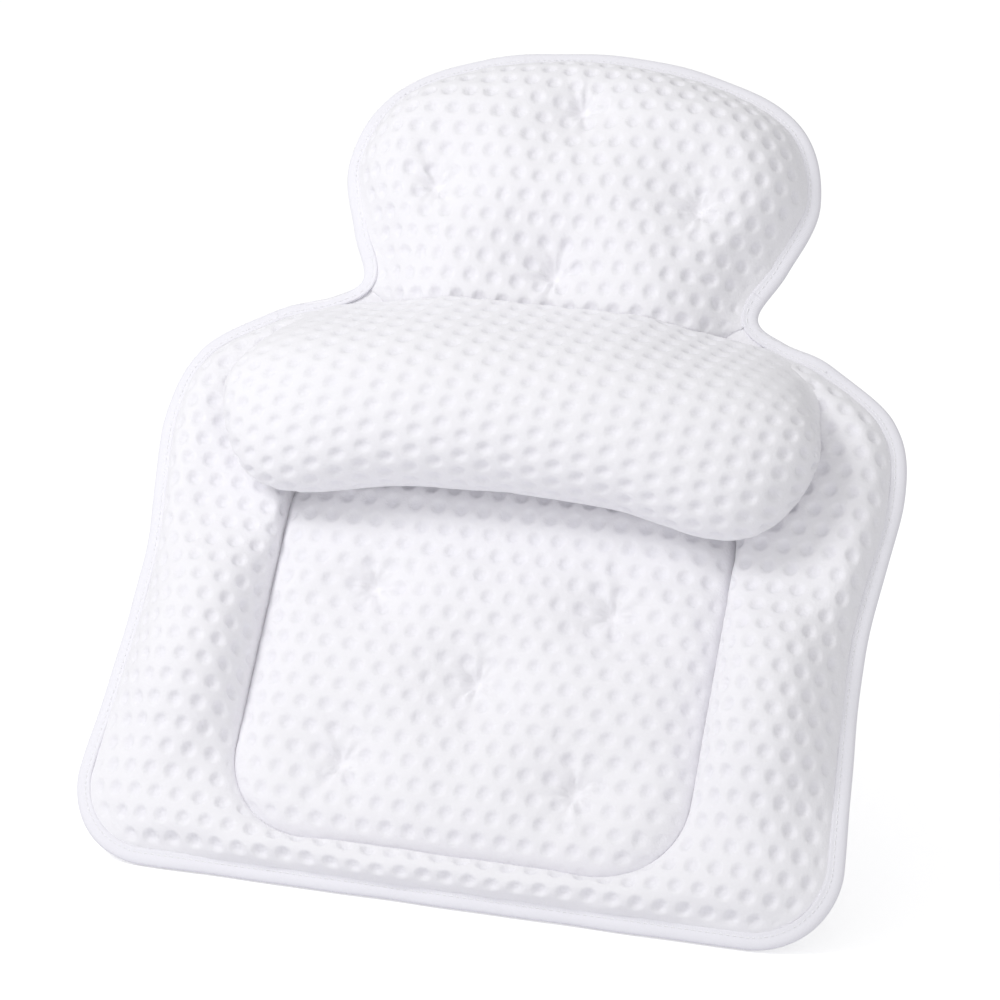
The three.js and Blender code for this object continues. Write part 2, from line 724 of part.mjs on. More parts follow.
function cupPatch([x, y]) {
  const hole = STEM / 2 + CLEARANCE;
  const top = PATCH_LEVEL + PATCH_CLOTH;
  const profile = [
    [hole, PATCH_LEVEL],
    [PATCH / 2, PATCH_LEVEL],
    [PATCH / 2, top],
    [hole, top],
    [hole, PATCH_LEVEL],
  ];
  return turned(profile, PATCH_SIDES, x, y);
}

// A bell with a flat lip, a collar under the patch, and a button that snaps through it into the wadding
function suctionCup([x, y]) {
  const lip = CUP_DIAMETER / 2;
  const shoulder = PATCH_LEVEL - CLEARANCE;
  const buttonTop = SEAM_LEVEL + BUTTON_HEIGHT;
  const profile = new THREE.Path();
  profile.moveTo(0, CUP_HOLLOW);
  profile.quadraticCurveTo(lip / 2, CUP_HOLLOW, lip - LIP_LAND, 0);
  profile.lineTo(lip, 0);
  profile.lineTo(lip, LIP_EDGE);
  profile.quadraticCurveTo(lip / 2, BELL_HEIGHT, COLLAR / 2, BELL_HEIGHT);
  profile.lineTo(COLLAR / 2, shoulder);
  profile.lineTo(STEM / 2, shoulder);
  profile.lineTo(STEM / 2, SEAM_LEVEL);
  profile.lineTo(BUTTON / 2, SEAM_LEVEL);
  profile.lineTo(BUTTON / 2, SEAM_LEVEL + BUTTON_EDGE);
  profile.quadraticCurveTo(BUTTON / 2, buttonTop, 0, buttonTop);
  return turned(profile.getPoints(CUP_CURVE).map((point) => [point.x, point.y]), CUP_SIDES, x, y);
}

// Finishes and assembly

const FINISHES = {
  airMesh: { color: '#efeff3', roughness: 0.9 },
  rearCloth: { color: '#e6e6ea', roughness: 0.9 },
  tape: { color: '#ececee', roughness: 0.75 },
  wadding: { color: '#f8f8f5', roughness: 1 },
  thread: { color: '#f3f3f3', roughness: 0.7 },
  cup: { color: '#dbe4e8', roughness: 0.2 },
};

const pillow = new THREE.Group();
pillow.rotation.x = THREE.MathUtils.degToRad(90 - LEAN);
const flat = new THREE.Group();
flat.position.y = -(CUP_LOW_Y + CUP_HIGH_Y) / 2;
pillow.add(flat);

function add(name, finish, shape) {
  const geometry = shape.isBufferGeometry ? shape : geometryOf(shape);
  const material = new THREE.MeshStandardMaterial({ metalness: 0, ...FINISHES[finish] });
  const mesh = new THREE.Mesh(geometry, material);
  mesh.name = name;
  flat.add(mesh);
}

const head = makeHead();
const panel = makePanel();
const border = makeBorder();

add('head_cover', 'airMesh', head.cover);
add('head_fill', 'wadding', head.fill);
add('neck_roll_cover', 'airMesh', rollCover());
add('neck_roll_fill', 'wadding', rollFill());
add('border_cover', 'airMesh', border.cover);
add('left_border_fill', 'wadding', border.leftFill);
add('right_border_fill', 'wadding', border.rightFill);
add('bottom_border_fill', 'wadding', border.bottomFill);
add('panel_cover', 'airMesh', panel.cover);
add('panel_fill', 'wadding', panel.fill);
add('rear_cover_head', 'rearCloth', rearCover('head', headTufts, headCups));
add('rear_cover_body', 'rearCloth', rearCover('body', PANEL_TUFTS, bodyCups));
add('binding_head', 'tape', tapeAlong(wholeRun(between(rightHalf, tapeHighY, Infinity), true)));
add('binding_body', 'tape', tapeAlong(wholeRun(between(rightHalf, -Infinity, tapeLowY), false)));
add('neck_binding_left', 'tape', tapeAlong(leftOf(neckTape)));
add('neck_binding_right', 'tape', tapeAlong(neckTape));
add('neck_web', 'airMesh', neckWeb());
headTufts.forEach((place, i) => add(`head_tuft_${i + 1}`, 'thread', tuft(place, HEAD_TUFT_HEIGHT)));
PANEL_TUFTS.forEach((place, i) => add(`panel_tuft_${i + 1}`, 'thread', tuft(place, PANEL_TUFT_HEIGHT)));
[...headCups, ...bodyCups].forEach((place, i) => {
  add(`cup_patch_${i + 1}`, 'rearCloth', cupPatch(place));
  add(`suction_cup_${i + 1}`, 'cup', suctionCup(place));
});

export default pillow;
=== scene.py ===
# %% [markdown]
# This lesson dresses a bath pillow. The CAD model says where every piece is and how big it is, and the
# steps below give each piece the look of the real one. The pillow is sewn from white air mesh, a springy
# polyester knit with rows of round dimples, stuffed with fibre wadding, and bound all round with a smooth
# tape. The frame is loaded first, because everything else is placed against it.

import math
from contextlib import contextmanager

import bmesh
import bpy
import numpy as np
from mathutils import Matrix, Vector
from mathutils.kdtree import KDTree


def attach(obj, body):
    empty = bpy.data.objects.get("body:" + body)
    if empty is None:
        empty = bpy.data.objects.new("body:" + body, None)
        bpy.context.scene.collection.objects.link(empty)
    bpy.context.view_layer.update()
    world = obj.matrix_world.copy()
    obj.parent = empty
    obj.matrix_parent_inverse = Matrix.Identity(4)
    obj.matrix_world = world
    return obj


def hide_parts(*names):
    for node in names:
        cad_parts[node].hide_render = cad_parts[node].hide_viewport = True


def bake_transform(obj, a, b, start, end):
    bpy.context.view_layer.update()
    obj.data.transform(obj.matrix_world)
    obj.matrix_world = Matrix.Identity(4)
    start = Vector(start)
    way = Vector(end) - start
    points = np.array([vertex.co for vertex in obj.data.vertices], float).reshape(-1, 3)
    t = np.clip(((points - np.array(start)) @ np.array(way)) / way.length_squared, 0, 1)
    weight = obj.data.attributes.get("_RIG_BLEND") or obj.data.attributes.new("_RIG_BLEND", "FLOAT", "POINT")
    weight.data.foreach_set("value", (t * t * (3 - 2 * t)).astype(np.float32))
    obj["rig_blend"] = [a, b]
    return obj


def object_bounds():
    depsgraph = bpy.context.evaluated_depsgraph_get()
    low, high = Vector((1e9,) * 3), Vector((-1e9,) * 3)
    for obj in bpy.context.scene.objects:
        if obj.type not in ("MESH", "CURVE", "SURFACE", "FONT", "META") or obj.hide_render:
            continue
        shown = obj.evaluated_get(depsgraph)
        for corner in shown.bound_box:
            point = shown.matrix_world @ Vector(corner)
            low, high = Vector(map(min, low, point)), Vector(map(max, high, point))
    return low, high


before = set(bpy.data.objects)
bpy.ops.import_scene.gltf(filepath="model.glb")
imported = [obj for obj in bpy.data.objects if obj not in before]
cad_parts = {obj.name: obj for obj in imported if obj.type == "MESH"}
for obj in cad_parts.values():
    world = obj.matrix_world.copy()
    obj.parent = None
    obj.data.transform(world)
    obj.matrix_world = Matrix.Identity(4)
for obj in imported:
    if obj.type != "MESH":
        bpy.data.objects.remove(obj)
cad_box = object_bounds()

# %% [markdown]
# A pillow is easiest to model lying flat on its back: x runs across it, y up its length and z out of its
# front. All sizes below are millimetres in that flat plan, and levels count up from the plane of the
# suction cups' lips. One matrix then leans a finished mesh back, as the pillow stands against the sloping
# end of a bath, so no object has to be moved or turned.

# %% Flat plan and levels
MM = 0.001
LEAN = 35
CUPS_MIDDLE_Y = 155
REAR_OUT = 16.5
SEAM_LEVEL = 19.3
EDGE_CLOTH = 2.5
EDGE_TOP = SEAM_LEVEL + EDGE_CLOTH
TIPPED_UP = Matrix.Rotation(math.radians(90 - LEAN), 4, "X")
LEANED = TIPPED_UP @ Matrix.Translation((0, -CUPS_MIDDLE_Y * MM, 0))


def leaned(x, y, z):
    """A point of the flat plan, in millimetres, as a point of the frame, in metres."""
    return LEANED @ (Vector((x, y, z)) * MM)


print("front faces", tuple(round(value, 3) for value in LEANED.to_3x3() @ Vector((0, 0, 1))))

# %% [markdown]
# Sewing patterns are lines: edges, seams and sections. Here a line is an array of points, one a row. A
# curve object could hold it too, but plain arrays are quicker to cut, to measure and to move in, which
# every later step does.

# %% Lines
CURVE_STEPS = 40
LINE_STEP = 1.0


def spline(points, steps=CURVE_STEPS):
    """A smooth line through points."""
    p = np.asarray(points, float)
    p = np.vstack([p[:1], p, p[-1:]])
    t = np.linspace(0, 1, steps, endpoint=False)[:, None]
    runs = []
    for a, b, c, d in zip(p, p[1:], p[2:], p[3:]):
        square = 2 * a - 5 * b + 4 * c - d
        cube = 3 * b - a - 3 * c + d
        runs.append(0.5 * (2 * b + (c - a) * t + square * t ** 2 + cube * t ** 3))
    return np.vstack([*runs, p[-1:]])


def lengths_along(lines):
    """Running length along each line of points."""
    steps = np.linalg.norm(np.diff(lines, axis=-2), axis=-1)
    return np.concatenate([np.zeros((*steps.shape[:-1], 1)), np.cumsum(steps, axis=-1)], axis=-1)


def along_line(at, run, line):
    """The points of a line at given lengths, where run is its running length."""
    return np.column_stack([np.interp(at, run, line[:, axis]) for axis in range(line.shape[1])])


def respaced(line, step=LINE_STEP):
    """The same line with evenly spaced points."""
    run = lengths_along(line)
    return along_line(np.linspace(0, run[-1], int(run[-1] / step)), run, line)


def mirrored(line):
    return line[::-1] * [-1, 1]


def arc(centre, radius, start):
    """A quarter of a circle, anticlockwise from a start in degrees."""
    turns = np.radians(np.linspace(start, start + 90, CURVE_STEPS))
    return np.column_stack([np.cos(turns), np.sin(turns)]) * radius + centre


print("a quarter circle of 10 mm is", round(lengths_along(arc((0, 0), 10, 0))[-1], 2), "mm long")

# %% [markdown]
# The outline is measured at a few places: hips, waist, shoulders, neck and head. A spline through those
# points gives the soft line of a sewn edge. Only the right half is drawn, and mirrored, because the
# pattern is cut on the fold.

# %% Outline
HIP_HALF = 210
HIP_CORNER = 46
SIDE_POINTS = [(202, 165), (209, 255), (197, 299), (158, 328), (130, 339), (113, 352), (125, 381),
               (136.5, 424), (118, 470), (68, 496)]
TOP_POINT = (0, 505)


def draw_right_half():
    corner = arc((HIP_HALF - HIP_CORNER, HIP_CORNER), HIP_CORNER, -90)
    side = np.array([corner[-1], *SIDE_POINTS, TOP_POINT])
    both = spline([*side, *(side[::-1][1:] * [-1, 1])])
    return respaced(np.vstack([[(0, 0)], corner, both[both[:, 0] > 0], [TOP_POINT]]))


right_half = draw_right_half()
half_length = lengths_along(right_half)[-1]
print("outline:", round(half_length * 2), "mm round,", round(right_half[:, 0].max() * 2), "mm wide")

# %% [markdown]
# The head and the body are two chambers, joined by a neck seam that folds. Each chamber's edge is the
# outline, moved in under the tape and cut along that seam. To move a line in, every point goes along its
# own normal.

# %% Edges of the chambers
FOLD_Y = 339
BODY_TOP_Y = 336
HEAD_LOW_Y = 342


def outward(line):
    """Unit directions that point out of an anticlockwise line."""
    along = np.gradient(line, axis=0)
    along /= np.linalg.norm(along, axis=1, keepdims=True)
    return np.column_stack([along[:, 1], -along[:, 0]])


def inset_half(distance):
    moved = right_half - outward(right_half) * distance
    moved[[0, -1], 0] = 0
    return moved


def edge_loop(part, distance, seam_gap):
    """The closed edge of the head or the body, moved in and cut along the neck seam.
    It starts in the middle of its lower side."""
    half = inset_half(distance)
    if part == "head":
        side = half[half[:, 1] >= HEAD_LOW_Y + seam_gap]
        right = np.vstack([[(0, side[0, 1])], side])
    else:
        side = half[half[:, 1] <= BODY_TOP_Y - seam_gap]
        right = np.vstack([side, [(0, side[-1, 1])]])
    return respaced(np.vstack([right, mirrored(right)[1:]]))


print("neck seam:", HEAD_LOW_Y - BODY_TOP_Y, "mm between the chambers, folding at", FOLD_Y)

# %% [markdown]
# Sewn cloth keeps its own measure: a dimple is as wide on the side of a cushion as on its top. So each
# padded piece is laid out as a cloth first. A grid is spread over the cushion so that its cells have equal
# lengths along the surface, and every point remembers its place on the flat cloth in an attribute. The
# dimples, and the knit in the material, are drawn in those cloth measures later. A UV map would do for the
# material alone, but the dimples are geometry.

# %% Cloth on a grid
TINY = 1e-9
CORNER_SLACK = 1e-6


def at_share(lines, share):
    """The point at a share of each line's length, and the length run to it."""
    run = lengths_along(lines)
    want = share * run[:, -1]
    after = (run < want[:, None]).sum(axis=1).clip(1, lines.shape[1] - 1)
    row = np.arange(len(lines))
    low, high = run[row, after - 1], run[row, after]
    part = ((want - low) / np.maximum(high - low, TINY)).clip(0, 1)[:, None]
    return lines[row, after - 1] * (1 - part) + lines[row, after] * part, want


def round_square(a, b):
    """How far round a square each grid point lies, from 0 to 1, anticlockwise from the middle of
    its lower side."""
    ring = np.maximum(np.maximum(abs(a), abs(b)), TINY)
    x, y = a / ring, b / ring
    edge = 1 - CORNER_SLACK
    sides = [(y <= -edge) & (x >= 0), x >= edge, y >= edge, x <= -edge]
    return np.select(sides, [x, 2 + y, 4 - x, 6 - y], 8 + x) / 8


print("the right corner below is", round(float(round_square(np.array([1]), np.array([-1]))[0]), 3), "round")

# %% [markdown]
# Each piece starts as an empty object, and bmesh operators fill its mesh: for a cloth, a grid whose points
# are then put in place. Points that fall together, as where a ring of cloth meets itself, are merged.

# %% New pieces
MERGE = 0.1


def new_piece(name, mesh=None):
    """A new object of the scene, which shows a given mesh or an empty one."""
    piece = bpy.data.objects.new(name, mesh or bpy.data.meshes.new(name))
    bpy.context.scene.collection.objects.link(piece)
    return piece


@contextmanager
def edited(piece):
    """The mesh of a piece, open for bmesh operators and written back afterwards."""
    bm = bmesh.new()
    bm.from_mesh(piece.data)
    yield bm
    bm.to_mesh(piece.data)
    bm.free()


def cloth_piece(name, grid, place):
    """A new piece from a grid of columns and rows. place turns grid places into points, cloth places,
    nearness to a seam and how firmly they are sewn down."""
    piece = new_piece(name)
    with edited(piece) as bm:
        bmesh.ops.create_grid(bm, x_segments=grid[0], y_segments=grid[1], size=1)
        a, b = np.array([vert.co[:2] for vert in bm.verts]).T
        points, cloth, seam, sewn = place(a, b)
        cloth_layer = bm.verts.layers.float_vector.new("cloth")
        seam_layer = bm.verts.layers.float.new("seam")
        sewn_layer = bm.verts.layers.float.new("sewn")
        spots = zip(bm.verts, (points * MM).tolist(), cloth.tolist(), seam.tolist(), sewn.tolist())
        for vert, point, spot, edge, hold in spots:
            vert.co = point
            vert[cloth_layer] = (*spot, 0)
            vert[seam_layer] = edge
            vert[sewn_layer] = hold
        bmesh.ops.remove_doubles(bm, verts=bm.verts, dist=MERGE * MM)
    return piece


print("points nearer than", MERGE, "mm are merged")

# %% [markdown]
# Blender keeps a mesh's points and attributes in long lists. Reading and writing a whole list at once with
# foreach_get and foreach_set is far quicker than going through the points one by one.

# %% Points and attributes
def read(mesh, name, width=1):
    """A point attribute of a mesh as an array."""
    values = np.zeros(len(mesh.vertices) * width, np.float32)
    mesh.attributes[name].data.foreach_get("vector" if width > 1 else "value", values)
    return values.reshape(-1, width) if width > 1 else values


def points_of(mesh):
    values = np.zeros(len(mesh.vertices) * 3, np.float32)
    mesh.vertices.foreach_get("co", values)
    return values.reshape(-1, 3).astype(float)


def move_to(mesh, points):
    mesh.vertices.foreach_set("co", points.astype(np.float32).ravel())
    mesh.update()


def smoothstep(low, high, value):
    share = np.clip((value - low) / (high - low), 0, 1)
    return share * share * (3 - 2 * share)


print("smoothstep a quarter of the way:", smoothstep(0, 1, 0.25))

# %% [markdown]
# A cushion gets its form from three things: the flat pattern, the stuffing that pushes it out, and the
# stitches that hold it in. Blender's cloth solver has just these: a mesh, a pressure and a pinned group.
# The sheet starts a little flatter than the real cushion, grows by a small slack, and is blown up against
# its pinned seams and tufts, so it draws in and puckers there by itself. Sculpting could give the same
# look, but not from a script.

# %% Stuffing
STUFFING_FRAMES = 20
PRESSURE = 4
STIFFNESS = 0.2
LEAST_HOLD = 0.02
FREE_BELOW = 0.5
RELAX_STEPS = 3
RELAX_SHARE = 0.5


def relaxed(piece):
    """Evens out a stuffed sheet, except where it is sewn."""
    with edited(piece) as bm:
        sewn = bm.verts.layers.float["sewn"]
        free = [vert for vert in bm.verts if vert[sewn] < FREE_BELOW]
        for _ in range(RELAX_STEPS):
            bmesh.ops.smooth_vert(bm, verts=free, factor=RELAX_SHARE,
                                  use_axis_x=True, use_axis_y=True, use_axis_z=True)


def pinned(piece):
    group = piece.vertex_groups.new(name="sewn")
    for number, hold in enumerate(read(piece.data, "sewn")):
        if hold > LEAST_HOLD:
            group.add([number], float(hold), "REPLACE")
    return group.name


def stuffed(piece, slack, most):
    """Blows a sewn sheet up by cloth simulation. No point moves further than most, in millimetres."""
    start = points_of(piece.data)
    cloth = piece.modifiers.new("Stuffing", "CLOTH")
    cloth.settings.vertex_group_mass = pinned(piece)
    cloth.settings.use_pressure = True
    cloth.settings.uniform_pressure_force = PRESSURE
    cloth.settings.shrink_min = -slack
    cloth.settings.bending_stiffness = STIFFNESS
    cloth.settings.effector_weights.gravity = 0
    cloth.point_cache.frame_end = STUFFING_FRAMES
    for step in range(1, STUFFING_FRAMES + 1):
        bpy.context.scene.frame_set(step)
    blown = piece.evaluated_get(bpy.context.evaluated_depsgraph_get())
    move = points_of(blown.data) - start
    far = np.linalg.norm(move, axis=1)
    cap = most * MM
    move *= (cap * np.tanh(far / cap) / np.maximum(far, TINY))[:, None]
    piece.modifiers.remove(cloth)
    piece.vertex_groups.clear()
    bpy.context.scene.frame_set(1)
    move_to(piece.data, start + move)
    relaxed(piece)
    print(piece.name, "stuffed: moved", round(float(far.mean()) / MM, 2), "mm on average")


print("stuffing runs for", STUFFING_FRAMES, "frames", "")

# %% [markdown]
# The cloth solver works best on a coarse grid, but a dimple 10 mm wide needs finer points. A subdivision
# surface rounds the grid and splits each face into sixteen. It is applied here and not left as a modifier,
# because the dimples are pressed into the fine points.

# %% Refining
FINE_LEVELS = 2


def refined(piece):
    """Applies smooth subdivisions to a piece."""
    smooth = piece.modifiers.new("Smooth", "SUBSURF")
    smooth.levels = smooth.render_levels = FINE_LEVELS
    smooth.boundary_smooth = "ALL"
    shown = piece.evaluated_get(bpy.context.evaluated_depsgraph_get())
    mesh = bpy.data.meshes.new_from_object(shown)
    piece.modifiers.clear()
    coarse = piece.data
    piece.data = mesh
    bpy.data.meshes.remove(coarse)
    mesh.name = piece.name


print("a face becomes", 4 ** FINE_LEVELS)

# %% [markdown]
# Air mesh is knitted so that round dimples lie in staggered rows, like a honeycomb, about 13 mm apart.
# They are real hollows that catch shade, so they are pressed into the mesh along its normals, which holds
# at a low light and in the outline where a bump map would not. Hand-fed cloth is never quite straight, so
# the rows wander by a fraction of a millimetre. Each hollow's depth is kept as an attribute for the
# material.

# %% Dimples
PITCH = 12.8
ROW = 12.0
HOLLOW_RADIUS = 4.9
HOLLOW_FLOOR = 0.3
HOLLOW_DEPTH = 2.1
WANDER = 0.7
WANDER_WAVES = (31, 37)
FLUTTER = 0.5
FLUTTER_WAVES = (23, 19)


def hollows(cloth):
    """1 in the middle of a dimple and 0 between dimples, for places on the cloth."""
    x, y = cloth.T
    x = x + WANDER * np.sin(y / WANDER_WAVES[0] + 1) + FLUTTER * np.sin(x / FLUTTER_WAVES[0])
    y = y + WANDER * np.sin(x / WANDER_WAVES[1] + 2) + FLUTTER * np.sin(y / FLUTTER_WAVES[1])
    apart = []
    for shift in (0, 0.5):
        along = x / PITCH - shift
        up = y / (2 * ROW) - shift
        apart.append(np.hypot((along - np.round(along)) * PITCH, (up - np.round(up)) * 2 * ROW))
    away = np.clip(np.minimum(*apart) / HOLLOW_RADIUS, 0, 1)
    return 1 - smoothstep(HOLLOW_FLOOR, 1, away)


def dimpled(piece, depth=HOLLOW_DEPTH, turned=None):
    """Presses the dimples in, fading them out towards seams. turned moves places on the cloth first."""
    mesh = piece.data
    cloth = read(mesh, "cloth", 3)[:, :2].astype(float)
    if turned:
        cloth = turned(cloth)
    hollow = hollows(cloth) * (1 - np.clip(read(mesh, "seam"), 0, 1))
    normals = np.zeros(len(mesh.vertices) * 3, np.float32)
    mesh.vertex_normals.foreach_get("vector", normals)
    move_to(mesh, points_of(mesh) - normals.reshape(-1, 3) * (hollow * depth * MM)[:, None])
    kept = mesh.attributes.new("hollow", "FLOAT", "POINT")
    kept.data.foreach_set("value", hollow.astype(np.float32))
    print(piece.name, "dimpled:", len(mesh.polygons), "faces")


print("dimples", PITCH, "mm apart, in rows of", ROW, "mm")

# %% [markdown]
# A tuft is a thread pulled through the whole cushion. It holds the cloth down at one point, the stuffing
# rises round it, and the spare cloth gathers into short creases that run out from it like rays. The wide
# hollow is part of the grid's form, so that the stuffing blows up round it. The small pit and the creases
# are finer than the grid, so they are added to the fine mesh.

# %% Tufts
HEAD_TUFTS = [(0, 454), (-75, 400), (75, 400), (0, 357)]
PANEL_TUFTS = [(-66, 168), (66, 168), (0, 121), (-64, 68), (64, 68)]
HEAD_TUFT_TOPS = [46.3, 46.3, 46.3, 35]
PANEL_TUFT_TOP = 26.3
TUFT_POWER = 1.15
TUFT_HOLD = (3, 11)
CREASE_COUNTS = (5, 7, 11)
CREASE_HEIGHT = 0.9
CREASE_START = (1.5, 7)
CREASE_REACH = 15
PIT_DEPTH = 3.6
PIT_RADIUS = 5.5
PIT_PLAIN = (4, 11)
SEED = 7
draw = np.random.default_rng(SEED)


def tufted(points, sewn, tufts, tops, width):
    """Points drawn down to each tuft's top, and the nearest of them sewn there."""
    points, sewn = points.copy(), sewn.copy()
    for (x, y), top in zip(tufts, tops):
        away = np.hypot(points[:, 0] - x, points[:, 1] - y)
        pull = np.exp(-((away / width) ** TUFT_POWER))
        points[:, 2] = points[:, 2] * (1 - pull) + np.minimum(points[:, 2], top) * pull
        sewn = np.maximum(sewn, 1 - smoothstep(*TUFT_HOLD, away))
        sewn[np.argmin(away)] = 1
    return points, sewn


def creased(piece, tufts):
    """Adds the pit and the rays of gathered cloth round each tuft, and leaves the dimples out there."""
    mesh = piece.data
    points = points_of(mesh)
    seam = read(mesh, "seam")
    for x, y in tufts:
        dx, dy = points[:, 0] / MM - x, points[:, 1] / MM - y
        away, turn = np.hypot(dx, dy), np.arctan2(dy, dx)
        rays = sum(np.cos(count * turn + draw.uniform(0, 2 * math.pi)) for count in CREASE_COUNTS)
        fade = smoothstep(*CREASE_START, away) * np.exp(-away / CREASE_REACH)
        pit = np.exp(-((away / PIT_RADIUS) ** 2)) * PIT_DEPTH
        points[:, 2] += (rays * fade * CREASE_HEIGHT - pit) * MM
        seam = np.maximum(seam, 1 - smoothstep(*PIT_PLAIN, away))
    move_to(mesh, points)
    mesh.attributes["seam"].data.foreach_set("value", seam.astype(np.float32))


print(len(HEAD_TUFTS), "tufts on the head and", len(PANEL_TUFTS), "on the panel")

# %% [markdown]
# The head pad and the centre panel are both cushions with one closed edge. A square grid is stretched over
# such a pad from its middle to its edge, ring by ring, which keeps the faces four-sided, as the cloth
# solver likes them. The height rises from the edge like a quarter of a circle, or more softly under a
# tape, and runs out into a low dome.

# %% Pads with one edge
RAY_STEPS = 48
SLOPE_POWER = 0.85
PLAIN_EDGE = (3, 11)
MIDDLE_EASE = 0.7
EDGE_HOLD = (0.93, 0.99)


def swell(share):
    """A quarter of a circle: 0 at a sewn edge, and 1 from a share of 1 on."""
    return np.sqrt(1 - (1 - np.clip(share, 0, 1)) ** 2)


def slope_up(share):
    """A softer rise from a taped edge: 0 at the edge, and 1 from a share of 1 on."""
    return np.sin(np.clip(share, 0, 1) * math.pi / 2) ** SLOPE_POWER


def plain_near(from_edge):
    """1 at an edge, where no dimple fits, and 0 well in from it."""
    return 1 - smoothstep(*PLAIN_EDGE, from_edge)


def pad_place(foot, centre, height, shape):
    """A place function for a pad with the closed edge foot. height gives its rise at flat places, and
    shape changes the finished points."""
    centre = np.asarray(centre, float)
    shares = np.linspace(0, 1, len(foot))

    def place(a, b):
        spoke = along_line(round_square(a, b), shares, foot) - centre
        t = np.linspace(0, 1, RAY_STEPS) ** MIDDLE_EASE
        flat = centre + spoke[:, None] * t[None, :, None]
        rays = np.concatenate([flat, (EDGE_TOP + height(flat, t))[..., None]], axis=2)
        ring = np.maximum(abs(a), abs(b))
        points, run = at_share(rays, ring)
        cloth = centre + spoke / np.linalg.norm(spoke, axis=1, keepdims=True) * run[:, None]
        seam = plain_near(lengths_along(rays)[:, -1] - run)
        return shape(points, cloth, seam, smoothstep(*EDGE_HOLD, ring))

    return place


print("swell half way in:", round(float(swell(0.5)), 3))

# %% [markdown]
# A stuffed piece is a solid, so each pad gets an underside. Its open edge is extruded and brought down to
# the level of the seam, and the loop there is filled with one face. A pad with a hole in it has two such
# loops, which are bridged.

# %% Underside of a pad
def backed(piece, has_hole=False):
    """Closes an open sheet: its edges go down to the level of the seam, and an underside joins them."""
    with edited(piece) as bm:
        rim = [edge for edge in bm.edges if edge.is_boundary]
        grown = bmesh.ops.extrude_edge_only(bm, edges=rim)["geom"]
        for vert in grown:
            if isinstance(vert, bmesh.types.BMVert):
                vert.co.z = SEAM_LEVEL * MM
        low = [edge for edge in grown if isinstance(edge, bmesh.types.BMEdge) and edge.is_boundary]
        if has_hole:
            bmesh.ops.bridge_loops(bm, edges=low)
        else:
            bmesh.ops.contextual_create(bm, geom=low)
        bmesh.ops.recalc_face_normals(bm, faces=bm.faces)


print("undersides lie at", SEAM_LEVEL, "mm")

# %% [markdown]
# The head pad is the folding top cushion. Its sides rise from the tape, and its lower edge is sewn into
# the neck seam behind the roll, so between the neck's corners the edge dips out of sight. The distance
# from the tape is asked of a KD tree, Blender's quick way to find the nearest of many points.

# %% Edge of the head pad
TAPE_WIDTH = 7.5
NECK_CORNER_Y = 344
NECK_DIP_Y = 327
NECK_DIP_X = (82, 108)


def between(pair, share):
    """The value at a share of the way from the first of a pair to the second."""
    return pair[0] + (pair[1] - pair[0]) * share


def neck_line(x):
    """The lower edge of the head pad, which dips behind the roll between its corners."""
    return between((NECK_DIP_Y, NECK_CORNER_Y), smoothstep(*NECK_DIP_X, abs(x)))


taped = inset_half(TAPE_WIDTH)
taped = taped[taped[:, 1] >= NECK_CORNER_Y]
across_neck = np.arange(0, taped[0, 0], LINE_STEP)
foot_half = np.vstack([np.column_stack([across_neck, neck_line(across_neck)]), taped])
head_foot = respaced(np.vstack([foot_half, mirrored(foot_half)[1:]]))
tape_points = np.vstack([taped, mirrored(taped)])
tape_tree = KDTree(len(tape_points))
for number, (x, y) in enumerate(tape_points):
    tape_tree.insert((x, y, 0), number)
tape_tree.balance()
print("head pad:", round(head_foot[:, 0].max() * 2), "mm wide")

# %% [markdown]
# The pad rises fast from its tape, slowly from the neck, and swells into a low dome between its four tufts.
# It is laid out, stuffed, refined, creased, dimpled and closed, in that order, like every pad below.

# %% Head pad
HEAD_GRID = (66, 46)
HEAD_CENTRE = (0, 424)
HEAD_CROWN = 39
HEAD_DOME = 5
HEAD_REACH = 36
HEAD_NECK_REACH = 84
HEAD_TUFT_WIDTH = 14
NECK_CORNER_X = (50, 105)
NECK_ROUND = (6, 20)
NECK_SHARE = (0.72, 0.3)


def head_height(flat, t):
    """The rise of the head at flat places, t of the way from its middle to its edge."""
    from_tape = np.array([tape_tree.find((x, y, 0))[2] for x, y in flat.reshape(-1, 2).tolist()])
    sides = slope_up(from_tape.reshape(flat.shape[:-1]) / HEAD_REACH)
    from_neck = flat[..., 1] - neck_line(flat[..., 0])
    corner = smoothstep(*NECK_CORNER_X, abs(flat[..., 0]))
    start = between(NECK_SHARE, corner)
    slope = smoothstep(0, HEAD_NECK_REACH, from_neck)
    neck = swell(from_neck / between(NECK_ROUND, corner)) * (start + (1 - start) * slope)
    return (HEAD_CROWN - EDGE_CLOTH - HEAD_DOME) * sides * neck + HEAD_DOME * (1 - t ** 2) * neck


def head_shape(points, cloth, seam, sewn):
    points, sewn = tufted(points, sewn, HEAD_TUFTS, HEAD_TUFT_TOPS, HEAD_TUFT_WIDTH)
    return points, cloth, seam, sewn


head_place = pad_place(head_foot, HEAD_CENTRE, head_height, head_shape)
head_pad = cloth_piece("head_pad", HEAD_GRID, head_place)
stuffed(head_pad, slack=0.02, most=6)
refined(head_pad)
creased(head_pad, HEAD_TUFTS)
dimpled(head_pad)
backed(head_pad)

# %% [markdown]
# The neck roll is a fat sausage with a round low side that hangs over the panel, and a long slope up to
# the neck seam. Seen from the front its lower edge bows up in the middle and its ends are blunt. A
# cylinder would have to be bent and squashed a long way, so the roll is lofted instead: one cross-section
# is worked out at every place along it, and the grid is wrapped round them.

